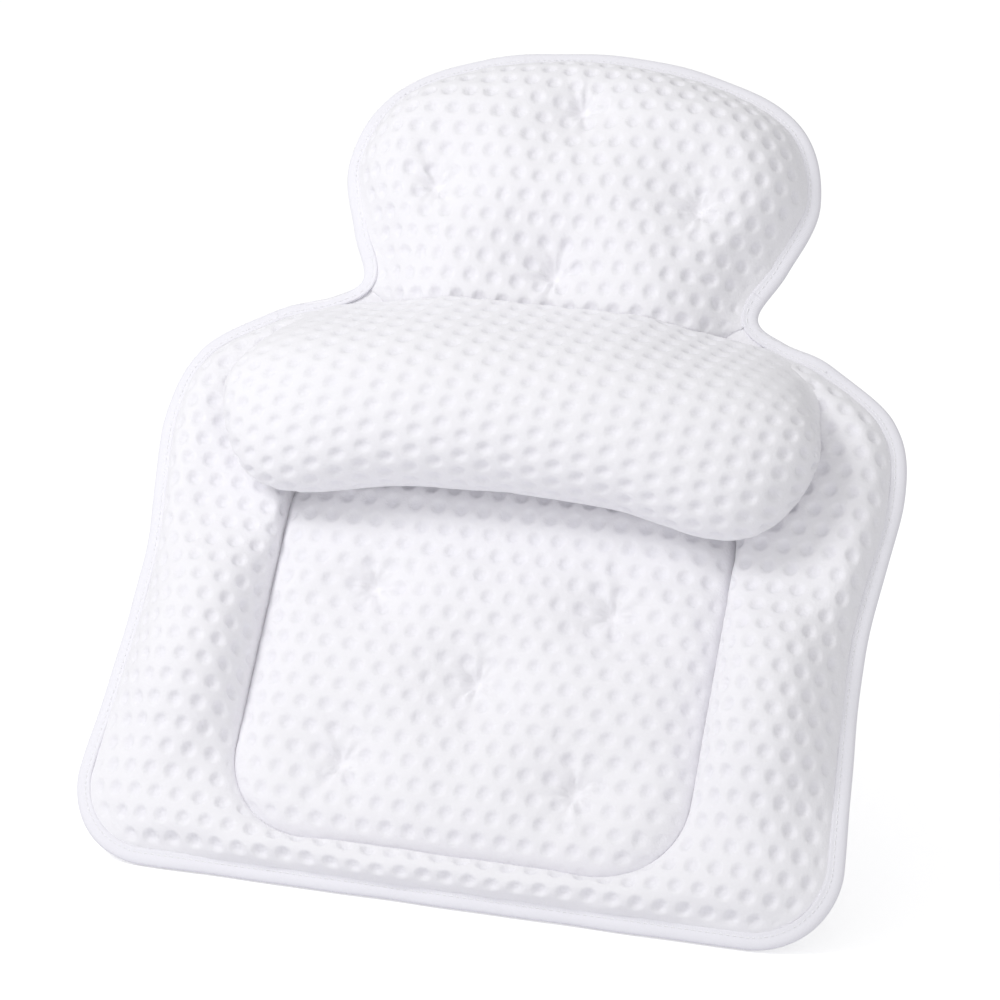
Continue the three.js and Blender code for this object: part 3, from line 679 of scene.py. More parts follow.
# %% Neck roll sections
ROLL_HALF = 165
ROLL_LOW_LINE = [(0, 219), (60, 215.5), (112, 207), (140, 213), (158, 236), (165, 262)]
ROLL_HIGH_LINE = [(0, 339), (70, 339), (105, 337), (132, 330), (153, 313), (162, 291), (165, 262)]
ROLL_RIDGE_Y = 264
ROLL_TIP_Y = 262
ROLL_BASE = 35.6
ROLL_THICKNESS = 60
ROLL_CUT = 0.6
ROLL_NECK_LEVELS = (44, 25)
ROLL_SHOULDER_X = (45, 105)
ROLL_END_POWER = 3
ROLL_END_LIFT = 14
ROLL_END_CLOSING = 0.75
ROLL_RUNOUT = 1.5


def plan_line(points, x):
    """The height on the plan of a smooth line through points, at distances from the middle."""
    line = spline(points)
    return np.interp(abs(x), line[:, 0], line[:, 1])


def roll_taper(reach):
    return (1 - abs(reach) ** ROLL_END_POWER).clip(0) ** (1 / ROLL_END_POWER)


def roll_lines(reach):
    """Cross-sections of the roll: from the middle of its base, round its low side, over it and back."""
    taper = roll_taper(reach)[:, None]
    x = reach[:, None] * ROLL_HALF
    ridge = between((ROLL_RIDGE_Y, ROLL_TIP_Y), reach[:, None] ** 2)
    base = ROLL_BASE + ROLL_END_LIFT * (1 - taper)
    low_half = ridge - np.minimum(plan_line(ROLL_LOW_LINE, x), ridge)
    low_turn = np.linspace(math.pi + math.asin(ROLL_CUT), math.pi / 2, CURVE_STEPS)[:-1]
    low_y = ridge + low_half * np.cos(low_turn)
    low_z = base + ROLL_THICKNESS * taper / (1 + ROLL_CUT) * (ROLL_CUT + np.sin(low_turn))
    high_half = np.maximum(plan_line(ROLL_HIGH_LINE, x), ridge) - ridge
    share = np.linspace(0, 1, CURVE_STEPS)
    high_y = ridge + high_half * share
    tip = ROLL_BASE + ROLL_END_LIFT
    neck = between(ROLL_NECK_LEVELS, smoothstep(*ROLL_SHOULDER_X, abs(x)))
    neck = between((tip, neck), smoothstep(0, ROLL_END_CLOSING, taper))
    high_z = neck + (base + ROLL_THICKNESS * taper - neck) * (1 - share ** 2) ** ROLL_RUNOUT
    y, z = np.hstack([low_y, high_y]), np.hstack([low_z, high_z])
    middle_y, middle_z = (y[:, :1] + y[:, -1:]) / 2, (z[:, :1] + z[:, -1:]) / 2
    y, z = np.hstack([middle_y, y, middle_y]), np.hstack([middle_z, z, middle_z])
    return np.stack([np.broadcast_to(x, y.shape), y, z], axis=2)


print("roll:", 2 * ROLL_HALF, "mm long,", ROLL_THICKNESS, "mm thick")

# %% [markdown]
# On the real roll the cloth was cut across the bolt, so its rows of dimples run round it and lean a
# little. The grid keeps its lengths along and around the roll as cloth places, and the dimples are turned
# and stretched from those. They fade out on the shoulders, where the cloth is drawn tight to the seam.

# %% Neck roll
ROLL_GRID = (86, 54)
ROLL_STRETCH = 1.095
ROLL_SQUEEZE = 0.885
ROLL_SKEW = 0.16
ROLL_HOLLOW = 1.8
ROLL_TIP_PLAIN = (0.93, 0.985)
ROLL_UNDER_HOLD = (0.86, 0.96)
SHOULDER_PLAIN_X = (95, 140)
SHOULDER_PLAIN_REACH = 35
SHOULDER_PLAIN_SHARE = 0.75
ROLL_FINE_STEPS = 801


def roll_weave(cloth):
    """Places on the roll's cloth, which was cut across and pulled a little askew."""
    along, around = cloth.T
    return np.column_stack([around / ROLL_SQUEEZE, (along - ROLL_SKEW * around) / ROLL_STRETCH])


def roll_place(a, b):
    fine = np.sin(np.linspace(-math.pi / 2, math.pi / 2, ROLL_FINE_STEPS))
    run = lengths_along(np.column_stack([fine * ROLL_HALF, roll_taper(fine) * ROLL_THICKNESS]))
    along = (a + 1) / 2 * run[-1]
    lines = roll_lines(np.interp(along, run, fine))
    points, length = at_share(lines, (b + 1) / 2)
    around = length - lengths_along(lines)[:, CURVE_STEPS]
    cloth = np.column_stack([along - run[-1] / 2, around])
    shoulder = smoothstep(*SHOULDER_PLAIN_X, abs(points[:, 0]))
    shoulder = shoulder * smoothstep(0, SHOULDER_PLAIN_REACH, points[:, 1] - ROLL_RIDGE_Y)
    plain = np.maximum(smoothstep(*ROLL_TIP_PLAIN, abs(a)), SHOULDER_PLAIN_SHARE * shoulder)
    return points, cloth, plain, smoothstep(*ROLL_UNDER_HOLD, abs(b))


neck_roll = cloth_piece("neck_roll", ROLL_GRID, roll_place)
stuffed(neck_roll, slack=0.01, most=3)
refined(neck_roll)
dimpled(neck_roll, ROLL_HOLLOW, roll_weave)

# %% [markdown]
# The border is one ring of cushion round the panel: two full side pads, a low bottom pad, and a flat top
# that the neck roll presses down. It has two sewn edges, so its grid is a band: the columns run round the
# pillow and the rows run in from the tape to the panel's seam. The last column meets the first, and
# merging doubles closes the ring.

# %% Panel seam and the roll's seat
PANEL_HALF = 125
PANEL_BOTTOM_Y = 26
PANEL_TOP_Y = 255
PANEL_CORNER = 46
PANEL_CENTRE = (0, (PANEL_BOTTOM_Y + PANEL_TOP_Y) / 2)
SEAT_TOP = 35.3
SEAT_SLOPE = 62
SEAT_SIDE_POINTS = 3


def panel_loop(distance):
    """The panel's seam, moved out by a distance, anticlockwise from the middle of its lower side."""
    radius = PANEL_CORNER + distance
    half = PANEL_HALF - PANEL_CORNER
    low, high = PANEL_BOTTOM_Y + PANEL_CORNER, PANEL_TOP_Y - PANEL_CORNER
    corners = [((half, low), -90), ((half, high), 0), ((-half, high), 90), ((-half, low), 180)]
    middle = [(0, low - radius)]
    return respaced(np.vstack([middle, *(arc(place, radius, start) for place, start in corners), middle]))


def under_roll(points):
    """How far the roll presses places of the body down, from 0 to 1."""
    x, y = points[..., 0], points[..., 1]
    low = plan_line(ROLL_LOW_LINE[:SEAT_SIDE_POINTS], x)
    high = plan_line(ROLL_HIGH_LINE[:SEAT_SIDE_POINTS], x)
    past_end = np.maximum(abs(x) - ROLL_HALF, 0)
    past_side = np.maximum(np.maximum(low - y, y - high), 0)
    return 1 - smoothstep(0, SEAT_SLOPE, np.hypot(past_end, past_side))


def pressed(points):
    """Points of the body pressed into a seat for the roll."""
    points = points.copy()
    points[..., 2] += (np.minimum(points[..., 2], SEAT_TOP) - points[..., 2]) * under_roll(points)
    return points


print("panel:", 2 * PANEL_HALF, "by", PANEL_TOP_Y - PANEL_BOTTOM_Y, "mm")

# %% [markdown]
# The border's height follows its width: it rises softly from the tape and drops steeply into the panel's
# seam. The two covers overlap there by a hair, so that the seam shows as a fine dark line and not as a
# gap.

# %% Border
BORDER_GRID = (270, 22)
SIDE_CROWN = 36
BOTTOM_CROWN = 16
BOTTOM_PAD_Y = 40
SIDE_PAD_Y = 120
PAD_FULLNESS = 2.6
SEAM_RISE = 0.2
SEAM_OVERLAP = 0.2
NECK_SEAM_IN = 1.5
EDGE_CROWDING = 0.08
BORDER_HOLD = (0.8, 0.97)
BORDER_SEAT_HOLD = (0.5, 0.95)


def border_ends(share):
    """The two ends of each row of the border, on the tape and on the panel's seam."""
    outer = edge_loop("body", TAPE_WIDTH, NECK_SEAM_IN)
    inner = panel_loop(-SEAM_OVERLAP) - PANEL_CENTRE
    start = along_line(share, np.linspace(0, 1, len(outer)), outer)
    turn = np.arctan2(start[:, 1] - PANEL_CENTRE[1], start[:, 0])
    turn = np.where((share > 0.5) & (turn < 0), turn + 2 * math.pi, turn)
    turns = np.unwrap(np.arctan2(inner[:, 1], inner[:, 0]))
    return start, along_line(turn, turns, inner) + PANEL_CENTRE


def border_place(a, b):
    start, end = border_ends((a + 1) / 2)
    t = np.linspace(0, 1, RAY_STEPS)
    t = t - EDGE_CROWDING * np.sin(2 * math.pi * t)
    flat = start[:, None] + (end - start)[:, None] * t[None, :, None]
    up_side = smoothstep(BOTTOM_PAD_Y, SIDE_PAD_Y, flat[..., 1])
    crown = between((BOTTOM_CROWN, SIDE_CROWN), up_side) - EDGE_CLOTH
    full = np.where(t < 0.5, slope_up(2 * t), np.sqrt(1 - abs(2 * t - 1) ** PAD_FULLNESS))[None]
    level = EDGE_TOP + SEAM_RISE * smoothstep(0.5, 1, t)[None]
    rays = pressed(np.concatenate([flat, (level + crown * full)[..., None]], axis=2))
    points, run = at_share(rays, (b + 1) / 2)
    length = lengths_along(rays)[:, -1]
    spoke = (end - start) / np.linalg.norm(end - start, axis=1, keepdims=True)
    cloth = (start + end) / 2 + spoke * (run - length / 2)[:, None]
    seam = plain_near(np.minimum(run, length - run))
    seat = smoothstep(*BORDER_SEAT_HOLD, under_roll(points))
    return points, cloth, seam, np.maximum(smoothstep(*BORDER_HOLD, abs(b)), seat)


border_pad = cloth_piece("border_pad", BORDER_GRID, border_place)
stuffed(border_pad, slack=0.01, most=3)
refined(border_pad)
dimpled(border_pad)
backed(border_pad, has_hole=True)

# %% [markdown]
# The panel is the flat quilted middle, sewn down all round and held by five tufts. It is made like the
# head pad, with a straight-sided outline, so its distance from the seam is worked out from a rounded
# rectangle. Its top end lies under the neck roll.

# %% Panel
PANEL_GRID = (54, 50)
PANEL_CROWN = 18
PANEL_DOME = 5
PANEL_REACH = 36
PANEL_TUFT_WIDTH = 13
PANEL_HOLLOW = 1.9
PANEL_SEAT_HOLD = (0.6, 0.98)


def panel_height(flat, t):
    core = np.array([PANEL_HALF, (PANEL_TOP_Y - PANEL_BOTTOM_Y) / 2]) - PANEL_CORNER
    past = np.maximum(abs(flat - PANEL_CENTRE) - core, 0)
    inward = PANEL_CORNER - np.linalg.norm(past, axis=-1)
    rise = PANEL_CROWN - EDGE_CLOTH - PANEL_DOME - SEAM_RISE
    return SEAM_RISE + rise * swell(inward / PANEL_REACH) + PANEL_DOME * (1 - t ** 2)


def panel_shape(points, cloth, seam, sewn):
    tops = [PANEL_TUFT_TOP] * len(PANEL_TUFTS)
    points, sewn = tufted(pressed(points), sewn, PANEL_TUFTS, tops, PANEL_TUFT_WIDTH)
    return points, cloth, seam, np.maximum(sewn, smoothstep(*PANEL_SEAT_HOLD, under_roll(points)))


panel_place = pad_place(panel_loop(SEAM_OVERLAP), PANEL_CENTRE, panel_height, panel_shape)
panel_pad = cloth_piece("panel_pad", PANEL_GRID, panel_place)
stuffed(panel_pad, slack=0.02, most=5)
refined(panel_pad)
creased(panel_pad, PANEL_TUFTS)
dimpled(panel_pad, PANEL_HOLLOW)
backed(panel_pad)

# %% [markdown]
# A bias tape is folded over the raw edges of all the cloths and sewn through. Cut across, it is a flat
# hook: its front edge lies on the pad, its fold is round, and its back edge lies on the rear cloth. A
# curve with a bevel profile would twist on the tight neck bends, so a grid is swept along the outline
# instead. Tape fed by hand is never quite even, so it ripples a little.

# %% Edge tape
TAPE = 0.9
FOLD_LINE = [(-8.6, 23.3), (-7.2, 22.7), (-5.9, 22.2), (-4.4, 22.1), (-2.5, 21.6), (-1, 20.6), (-0.2, 19.4),
             (-0.2, 18.4), (-1, 17.3), (-2.8, 16.3), (-5.4, 15.7), (-8, 15.8)]
FOLD_POINTS = 15
FOLD_CURVE_STEPS = 8
TAPE_STEP = 2.5
RIPPLES = ((0.22, 19, 0), (0.18, 34, 1))
SIDE_RIPPLE = 0.7
SIDE_RIPPLE_AHEAD = 5


def tape_section():
    """The folded tape cut across: out from the edge, and up."""
    fold = spline(FOLD_LINE, FOLD_CURVE_STEPS)
    run = lengths_along(fold)
    outer = along_line(np.linspace(0, run[-1], FOLD_POINTS), run, fold)
    inner = outer + outward(outer) * TAPE
    return np.vstack([outer, inner[::-1], outer[:1]])


def ripple(run):
    """The small unevenness of the tape, at lengths from the middle of the bottom edge."""
    turn = math.pi * run / half_length
    return sum(height * np.sin(waves * turn + shift) for height, waves, shift in RIPPLES)


def closed(piece):
    """Fills open ends, and turns every face outwards."""
    with edited(piece) as bm:
        ends = [edge for edge in bm.edges if edge.is_boundary]
        bmesh.ops.holes_fill(bm, edges=ends)
        for edge in ends:
            edge.smooth = False
        bmesh.ops.recalc_face_normals(bm, faces=bm.faces)
    return piece


def tape_piece(name, edge, start):
    """Tape along an edge that starts at a length from the middle of the bottom edge."""
    run = lengths_along(edge)
    section = tape_section()
    section_run = lengths_along(section)
    steps = np.arange(len(section))
    sides = outward(edge)

    def place(a, b):
        at = (a + 1) / 2 * run[-1]
        step = (b + 1) / 2 * steps[-1]
        out, up = along_line(step, steps, section).T
        out = out + SIDE_RIPPLE * ripple(start + at + SIDE_RIPPLE_AHEAD)
        flat = along_line(at, run, edge) + along_line(at, run, sides) * out[:, None]
        points = np.column_stack([flat, up + ripple(start + at)])
        nothing = np.zeros(len(a))
        return points, np.column_stack([at, np.interp(step, steps, section_run)]), nothing, nothing

    return closed(cloth_piece(name, (int(run[-1] / TAPE_STEP), steps[-1]), place))


print("tape:", round(lengths_along(tape_section())[-1]), "mm round its section")

# %% [markdown]
# The tape comes in four stretches: one round the body, one round the head, and two short ones at the neck,
# which bend with the fold. Each knows how far it starts from the middle of the bottom edge, so that the
# ripples run on from one stretch to the next.

# %% Four stretches of tape
NECK_TAPE_LOW_Y = 328
NECK_TAPE_HIGH_Y = 361


def half_run(low, high):
    """The right half of the outline between two heights, and the length from the bottom to it."""
    kept = (right_half[:, 1] >= low) & (right_half[:, 1] <= high)
    return right_half[kept], lengths_along(right_half)[kept][0]


body_half, body_start = half_run(-LINE_STEP, NECK_TAPE_LOW_Y)
neck_half, neck_start = half_run(NECK_TAPE_LOW_Y - LINE_STEP, NECK_TAPE_HIGH_Y + LINE_STEP)
head_half, head_start = half_run(NECK_TAPE_HIGH_Y, TOP_POINT[1])
body_run = np.vstack([mirrored(body_half), body_half[1:]])
head_run = np.vstack([head_half, mirrored(head_half)[1:]])
TAPES = {
    "tape_body": (body_run, body_start - lengths_along(body_half)[-1], "binding_body"),
    "tape_head": (head_run, head_start, "binding_head"),
    "tape_neck_right": (neck_half, neck_start, "neck_binding_right"),
    "tape_neck_left": (mirrored(neck_half), -neck_start - lengths_along(neck_half)[-1], "neck_binding_left"),
}
tapes = {name: tape_piece(name, edge, start) for name, (edge, start, node) in TAPES.items()}
print("tape:", {name: round(lengths_along(edge)[-1]) for name, (edge, start, node) in TAPES.items()}, "mm")

# %% [markdown]
# The stitches that hold the tape are short bows of thread which dip into the cloth at both ends, in front
# and at the back. There are hundreds, so all of a row are splines of one curve with a round bevel, turned
# into one mesh with few faces each.

# %% Stitching
STITCH = 2.7
STITCH_PITCH = 3.6
STITCH_IN = 6
STITCH_RADIUS = 0.275
STITCH_STEPS = np.array([0, 0.25, 0.75, 1])
STITCH_BOW = np.array([-1.2, 0.6, 0.6, -1.2])
STITCH_START = 0.5
STITCH_LEVELS = ((22.2, 0.3), (15.85, -0.3))


def threads(name, paths, radius):
    """One mesh of round threads along short paths, in flat millimetres."""
    curve = bpy.data.curves.new(name, "CURVE")
    curve.dimensions = "3D"
    curve.bevel_depth = radius * MM
    curve.bevel_resolution = 1
    curve.use_fill_caps = True
    for path in paths:
        line = curve.splines.new("POLY")
        line.points.add(len(path) - 1)
        for point, place in zip(line.points, path):
            point.co = (*(value * MM for value in place), 1)
    wire = bpy.data.objects.new(name, curve)
    mesh = bpy.data.meshes.new_from_object(wire)
    bpy.data.objects.remove(wire)
    bpy.data.curves.remove(curve)
    mesh.name = name
    return new_piece(name, mesh)


def stitch_rows(edge, first):
    """Stitches along a tape, in front and at the back."""
    run = lengths_along(edge)
    line = edge - outward(edge) * STITCH_IN
    paths = []
    for level, lift in STITCH_LEVELS:
        for start in np.arange(STITCH_START, run[-1] - STITCH, STITCH_PITCH):
            at = start + STITCH * STITCH_STEPS
            z = level + ripple(first + at) + lift * STITCH_BOW
            paths.append(np.column_stack([along_line(at, run, line), z]).tolist())
    return paths


seams = {}
for name, (edge, start, node) in TAPES.items():
    seams[name] = threads(name.replace("tape", "stitches"), stitch_rows(edge, start), STITCH_RADIUS)
print("stitches:", sum(len(stitch_rows(edge, start)) for edge, start, node in TAPES.values()))

# %% [markdown]
# The back of the pillow is closed by a flat knitted cloth. It is a pad without height: the same grid, laid
# level, with a faint wave and a small pull at every tuft. The grid faces the front, so it is turned over
# by mirroring it, and a Solidify modifier gives it its thickness.

# %% Rear cloth
REAR_CLOTH = 1.2
REAR_EDGE_IN = 4
REAR_SEAM_IN = 0.2
REAR_GAP = 0.1
REAR_PULL = 1.1
REAR_PULL_REACH = 9
REAR_WAVE = 0.25
REAR_WAVE_SIZE = (23, 29)
BODY_MIDDLE = (0, 165)


def rear_shape(points, cloth, seam, sewn):
    points[:, 0] *= -1
    x, y = points[:, 0], points[:, 1]
    pulls = np.zeros(len(points))
    for tuft_x, tuft_y in HEAD_TUFTS + PANEL_TUFTS:
        pulls += np.exp(-np.hypot(x - tuft_x, y - tuft_y) / REAR_PULL_REACH)
    wave = REAR_WAVE * np.sin(x / REAR_WAVE_SIZE[0]) * np.sin(y / REAR_WAVE_SIZE[1]) * (1 - seam)
    points[:, 2] = REAR_OUT + REAR_GAP + REAR_PULL * pulls + wave
    return points, cloth, seam, sewn


def no_height(flat, t):
    return np.zeros(flat.shape[:-1])


def thickened(piece, thickness):
    wall = piece.modifiers.new("Thickness", "SOLIDIFY")
    wall.thickness = thickness * MM
    wall.offset = -1


def rear_piece(part, grid, centre):
    foot = edge_loop(part, REAR_EDGE_IN, REAR_SEAM_IN)
    piece = cloth_piece(f"rear_cloth_{part}", grid, pad_place(foot, centre, no_height, rear_shape))
    thickened(piece, REAR_CLOTH)
    print(piece.name, len(piece.data.polygons), "faces")
    return piece


rear_head = rear_piece("head", grid=(72, 50), centre=HEAD_CENTRE)
rear_body = rear_piece("body", grid=(100, 90), centre=BODY_MIDDLE)

# %% [markdown]
# At the neck the covers are sewn flat to each other. This web is a plain strip whose ends tuck in under
# the tape, so its width follows the outline. It needs a few rows of faces, because it bends when the head
# folds.

# %% Neck web
WEB_GRID = (56, 6)
WEB_LENGTH = 14
WEB_UNDER_TAPE = 4
WEB_TOP = 21.4
WEB_CLOTH = 2.4
above_body = right_half[:, 1] > BODY_TOP_Y - WEB_LENGTH
below_head = right_half[:, 1] < HEAD_LOW_Y + WEB_LENGTH
neck_side = right_half[above_body & below_head]


def web_place(a, b):
    y = FOLD_Y + b * WEB_LENGTH / 2
    half = np.interp(y, neck_side[:, 1], neck_side[:, 0]) - WEB_UNDER_TAPE
    points = np.column_stack([a * half, y, np.full(len(a), WEB_TOP)])
    return points, points[:, :2], np.ones(len(a)), np.ones(len(a))


neck_web = cloth_piece("neck_fold", WEB_GRID, web_place)
thickened(neck_web, WEB_CLOTH)
print("web:", WEB_LENGTH, "mm long")

# %% [markdown]
# Each tuft is tied with thread: three strands cross in the pit in front and three at the back, and one
# joins them through the pad. They are threads like the stitches, a little thicker.

# %% Tuft ties
TIE_REACH = 2.6
TIE_RADIUS = 0.35
TIE_TURNS = (20, 80, 140)
TIE_POINTS = 7
TIE_DROOP = 1.8
TIE_SUNK = 0.8
TIE_LIFT = 0.6
TIE_REAR = (0.6, -0.7)


def tie_paths(x, y, top):
    front = top - PIT_DEPTH - TIE_SUNK
    paths = [[(x, y, front), (x, y, REAR_OUT)]]
    for level, lift in ((front, TIE_LIFT), (REAR_OUT + TIE_REAR[0], TIE_REAR[1])):
        for turn in np.radians(TIE_TURNS):
            across = np.linspace(-1, 1, TIE_POINTS)
            z = level + lift * (1 - TIE_DROOP * across ** 2)
            strand = [x + across * TIE_REACH * math.cos(turn), y + across * TIE_REACH * math.sin(turn), z]
            paths.append(np.column_stack(strand).tolist())
    return paths


ties = []
for number, ((x, y), top) in enumerate(zip(HEAD_TUFTS, HEAD_TUFT_TOPS), 1):
    tie = threads(f"tie_head_{number}", tie_paths(x, y, top), TIE_RADIUS)
    ties.append((tie, "head", f"head_tuft_{number}"))
for number, (x, y) in enumerate(PANEL_TUFTS, 1):
    tie = threads(f"tie_panel_{number}", tie_paths(x, y, PANEL_TUFT_TOP), TIE_RADIUS)
    ties.append((tie, "body", f"panel_tuft_{number}"))
print(len(ties), "ties")

# %% [markdown]
# Six moulded suction cups hold the pillow to the bath. A cup is round, so its half section is drawn as a
# few points of radius and height, and spun round its axis: a hollow face, a thin lip, a bell, a collar, a
# stem, and the button that snaps through the patch. A lathe made this mould, and the spin works the same
# way.

# %% Suction cups
CUPS = [(-70, 452), (70, 452), (-150, 75), (150, 75), (-150, 235), (150, 235)]
SPUN_SIDES = 56
SPUN_MERGE = 0.01
CUP_HOLLOW_RADIUS = 24
CUP_HOLLOW_DEPTH = 6.5
CUP_HOLLOW_STEPS = 10
CUP_LIP = [(24.3, 0), (26.6, 0), (27, 0.4)]
CUP_BELL = [(26.9, 1.3), (25.5, 2.6), (20, 5.4), (14, 7.8), (10, 9.6), (8.5, 11.4)]
CUP_BELL_STEPS = 4
CUP_COLLAR = [(8.5, 14.2), (8.1, 14.6), (4.5, 14.6)]
CUP_BUTTON = [(4.5, 19.3), (6.6, 19.4), (7, 19.8), (7, 21.9), (6.6, 22.6), (5.4, 23.2), (0, 23.2)]


def spun(name, section, x, y):
    """A round piece, turned from its half section of radius and height about an upright axis at x, y."""
    piece = new_piece(name)
    with edited(piece) as bm:
        verts = [bm.verts.new(((x + radius) * MM, y * MM, height * MM)) for radius, height in section]
        edges = [bm.edges.new(pair) for pair in zip(verts, verts[1:])]
        bmesh.ops.spin(bm, geom=[*verts, *edges], cent=(x * MM, y * MM, 0), axis=(0, 0, 1),
                       angle=2 * math.pi, steps=SPUN_SIDES, use_merge=True)
        bmesh.ops.remove_doubles(bm, verts=bm.verts, dist=SPUN_MERGE * MM)
        bmesh.ops.recalc_face_normals(bm, faces=bm.faces)
    return piece


def cup_section():
    shares = np.linspace(0, 1, CUP_HOLLOW_STEPS)
    hollow = [(CUP_HOLLOW_RADIUS * share, CUP_HOLLOW_DEPTH * (1 - share ** 2)) for share in shares]
    bell = spline(CUP_BELL, CUP_BELL_STEPS).tolist()
    return [*hollow, *CUP_LIP, *bell, *CUP_COLLAR, *CUP_BUTTON]


print("cup:", 2 * max(radius for radius, height in cup_section()), "mm across")

# %% [markdown]
# Where a cup passes through the rear cloth, a round patch with an eyelet is sewn on to take the pull. The
# patch is a thin ring, spun like the cup, with one round of stitches near its rim. Each cup is made
# together with its patch.

# %% Cup patches
PATCH_SECTION = [(4.9, 15.2), (5.1, 14.95), (18.4, 14.95), (19, 15.3), (19, 15.9), (18.7, 16.2), (5.1, 16.2),
                 (4.9, 15.95), (4.9, 15.2)]
PATCH_STITCH_RADIUS = 16.8
PATCH_STITCH_LEVEL = 14.95
PATCH_STITCH_LIFT = -0.35
PATCH_STITCH_STEPS = np.array([0, 0.2, 0.55, 0.75])


def ring_stitches(x, y):
    count = round(2 * math.pi * PATCH_STITCH_RADIUS / STITCH_PITCH)
    z = PATCH_STITCH_LEVEL + PATCH_STITCH_LIFT * STITCH_BOW
    paths = []
    for number in range(count):
        turns = 2 * math.pi * (number + PATCH_STITCH_STEPS) / count
        ring = np.column_stack([np.cos(turns), np.sin(turns)]) * PATCH_STITCH_RADIUS + (x, y)
        paths.append(np.column_stack([ring, z]).tolist())
    return paths


fixings = []
for number, (x, y) in enumerate(CUPS, 1):
    cup = spun(f"vinyl_cup_{number}", cup_section(), x, y)
    patch = spun(f"cloth_patch_{number}", PATCH_SECTION, x, y)
    fixings.append((cup, patch, threads(f"patch_stitches_{number}", ring_stitches(x, y), STITCH_RADIUS)))
print(len(fixings), "cups with patches, a cup of", len(fixings[0][0].data.polygons), "faces")

# %% [markdown]
# Every material here is a Principled shader with a few nodes. Colours are picked as sRGB hex values, as on
# a screen, and turned to the linear values that a renderer adds up. One function adds a node, sets it and
# links it, so that each material below reads as a short list of what it is made of.

# %% Material helpers
def colour(hex_code):
    """An sRGB hex colour as linear values."""
    parts = [int(hex_code[i:i + 2], 16) / 255 for i in (1, 3, 5)]
    return (*(p / 12.92 if p <= 0.04045 else ((p + 0.055) / 1.055) ** 2.4 for p in parts), 1)


def add(tree, kind, settings=None, **links):
    """One node with its settings and its inputs, given as values or as output sockets.
    An input is named, or numbered as i0, i1 and so on."""
    node = tree.nodes.new("ShaderNode" + kind)
    for name, value in (settings or {}).items():
        setattr(node, name, value)
    for name, value in links.items():
        socket = node.inputs[int(name[1:])] if name[1:].isdigit() else node.inputs[name]
        if isinstance(value, bpy.types.NodeSocket):
            tree.links.new(value, socket)
        else:
            socket.default_value = value
    return node


def new_material(name, hex_code, roughness):
    material = bpy.data.materials.new(name)
    material.use_nodes = True
    shader = material.node_tree.nodes["Principled BSDF"]
    shader.inputs["Base Color"].default_value = colour(hex_code)
    shader.inputs["Roughness"].default_value = roughness
    return material, material.node_tree, shader


print("mid grey is", round(colour("#808080")[0], 3), "in linear light")

# %% [markdown]
# Air mesh is a spacer knit of fine white polyester: two faces of loops held apart by springy threads. It
# scatters light all ways, so it is matt with a faint sheen at its edges and no shine. Its loops are drawn
# in the cloth's own millimetres, from the attribute that the grid left, so they follow every curve. The
# hollows are painted a shade greyer: partly because the knit is open there, and partly as painted shade
# for the shade that falls in them.

# %% Air mesh
# Real loops are about 0.8 mm. They are drawn at 1.5 mm, so that the camera can still see them
KNIT = 1.5
FIBRES_PER_MM = 0.9
FIBRE_SHARE = 0.6
KNIT_HEIGHT = 0.35


def air_mesh():
    # A soft even white: loops too fine to count, seen as a slight grain
    material, tree, shader = new_material("polyester air mesh", "#F4F3F7", roughness=0.9)
    cloth = add(tree, "Attribute", {"attribute_name": "cloth"}).outputs["Vector"]
    hollow = add(tree, "Attribute", {"attribute_name": "hollow"}).outputs["Fac"]
    knit = add(tree, "TexVoronoi", {"feature": "F1"}, Vector=cloth, Scale=1 / KNIT)
    fibre = add(tree, "TexNoise", Vector=cloth, Scale=FIBRES_PER_MM, Detail=3.0)
    both = add(tree, "Math", {"operation": "MULTIPLY_ADD"}, i0=fibre.outputs["Fac"], i1=FIBRE_SHARE,
               i2=knit.outputs["Distance"])
    bump = add(tree, "Bump", Height=both.outputs["Value"], Distance=KNIT_HEIGHT * MM, Strength=0.35)
    # Painted shade: the hollows are mixed a little greyer, partly for the open knit and partly as the shade
    # in them
    open_knit_and_shade = add(tree, "Mix", {"data_type": "RGBA"}, i0=hollow, i6=colour("#F4F3F7"), i7=colour("#F0EFF4"))
    tree.links.new(open_knit_and_shade.outputs[2], shader.inputs["Base Color"])
    tree.links.new(bump.outputs["Normal"], shader.inputs["Normal"])
    shader.inputs["Sheen Weight"].default_value = 0.15
    shader.inputs["Sheen Roughness"].default_value = 0.6
    shader.inputs["Specular IOR Level"].default_value = 0.25
    return material


mesh_cloth = air_mesh()
print("material:", mesh_cloth.name)

# %% [markdown]
# The tape is a close plain weave, smoother than the mesh and a touch cooler. Its ribs run across it, less
# than a millimetre apart, so a wave texture along the tape draws them. The rear cloth is a warp knit with
# small open cells, for which a Voronoi texture gives the holes and their shade.

# %% Tape and rear cloth
# A wave texture of scale 1 turns by 20 radians a unit
WAVE_RADIANS = 20
# Real ribs are about 0.4 mm, too fine to show, so they are drawn about twice as coarse
RIB = 0.8976
RIB_HEIGHT = 0.2
REAR_KNIT = 2.0
REAR_KNIT_HEIGHT = 0.4


def woven_tape():
    # Smooth and flat beside the dimples, with fine ribs that only a close look shows
    material, tree, shader = new_material("woven polyester tape", "#F1F0F6", roughness=0.8)
    cloth = add(tree, "Attribute", {"attribute_name": "cloth"}).outputs["Vector"]
    ribs = add(tree, "TexWave", {"bands_direction": "X"}, Vector=cloth,
               Scale=2 * math.pi / (WAVE_RADIANS * RIB), Distortion=0.6)
    bump = add(tree, "Bump", Height=ribs.outputs["Fac"], Distance=RIB_HEIGHT * MM, Strength=0.25)
    tree.links.new(bump.outputs["Normal"], shader.inputs["Normal"])
    shader.inputs["Specular IOR Level"].default_value = 0.3
    return material


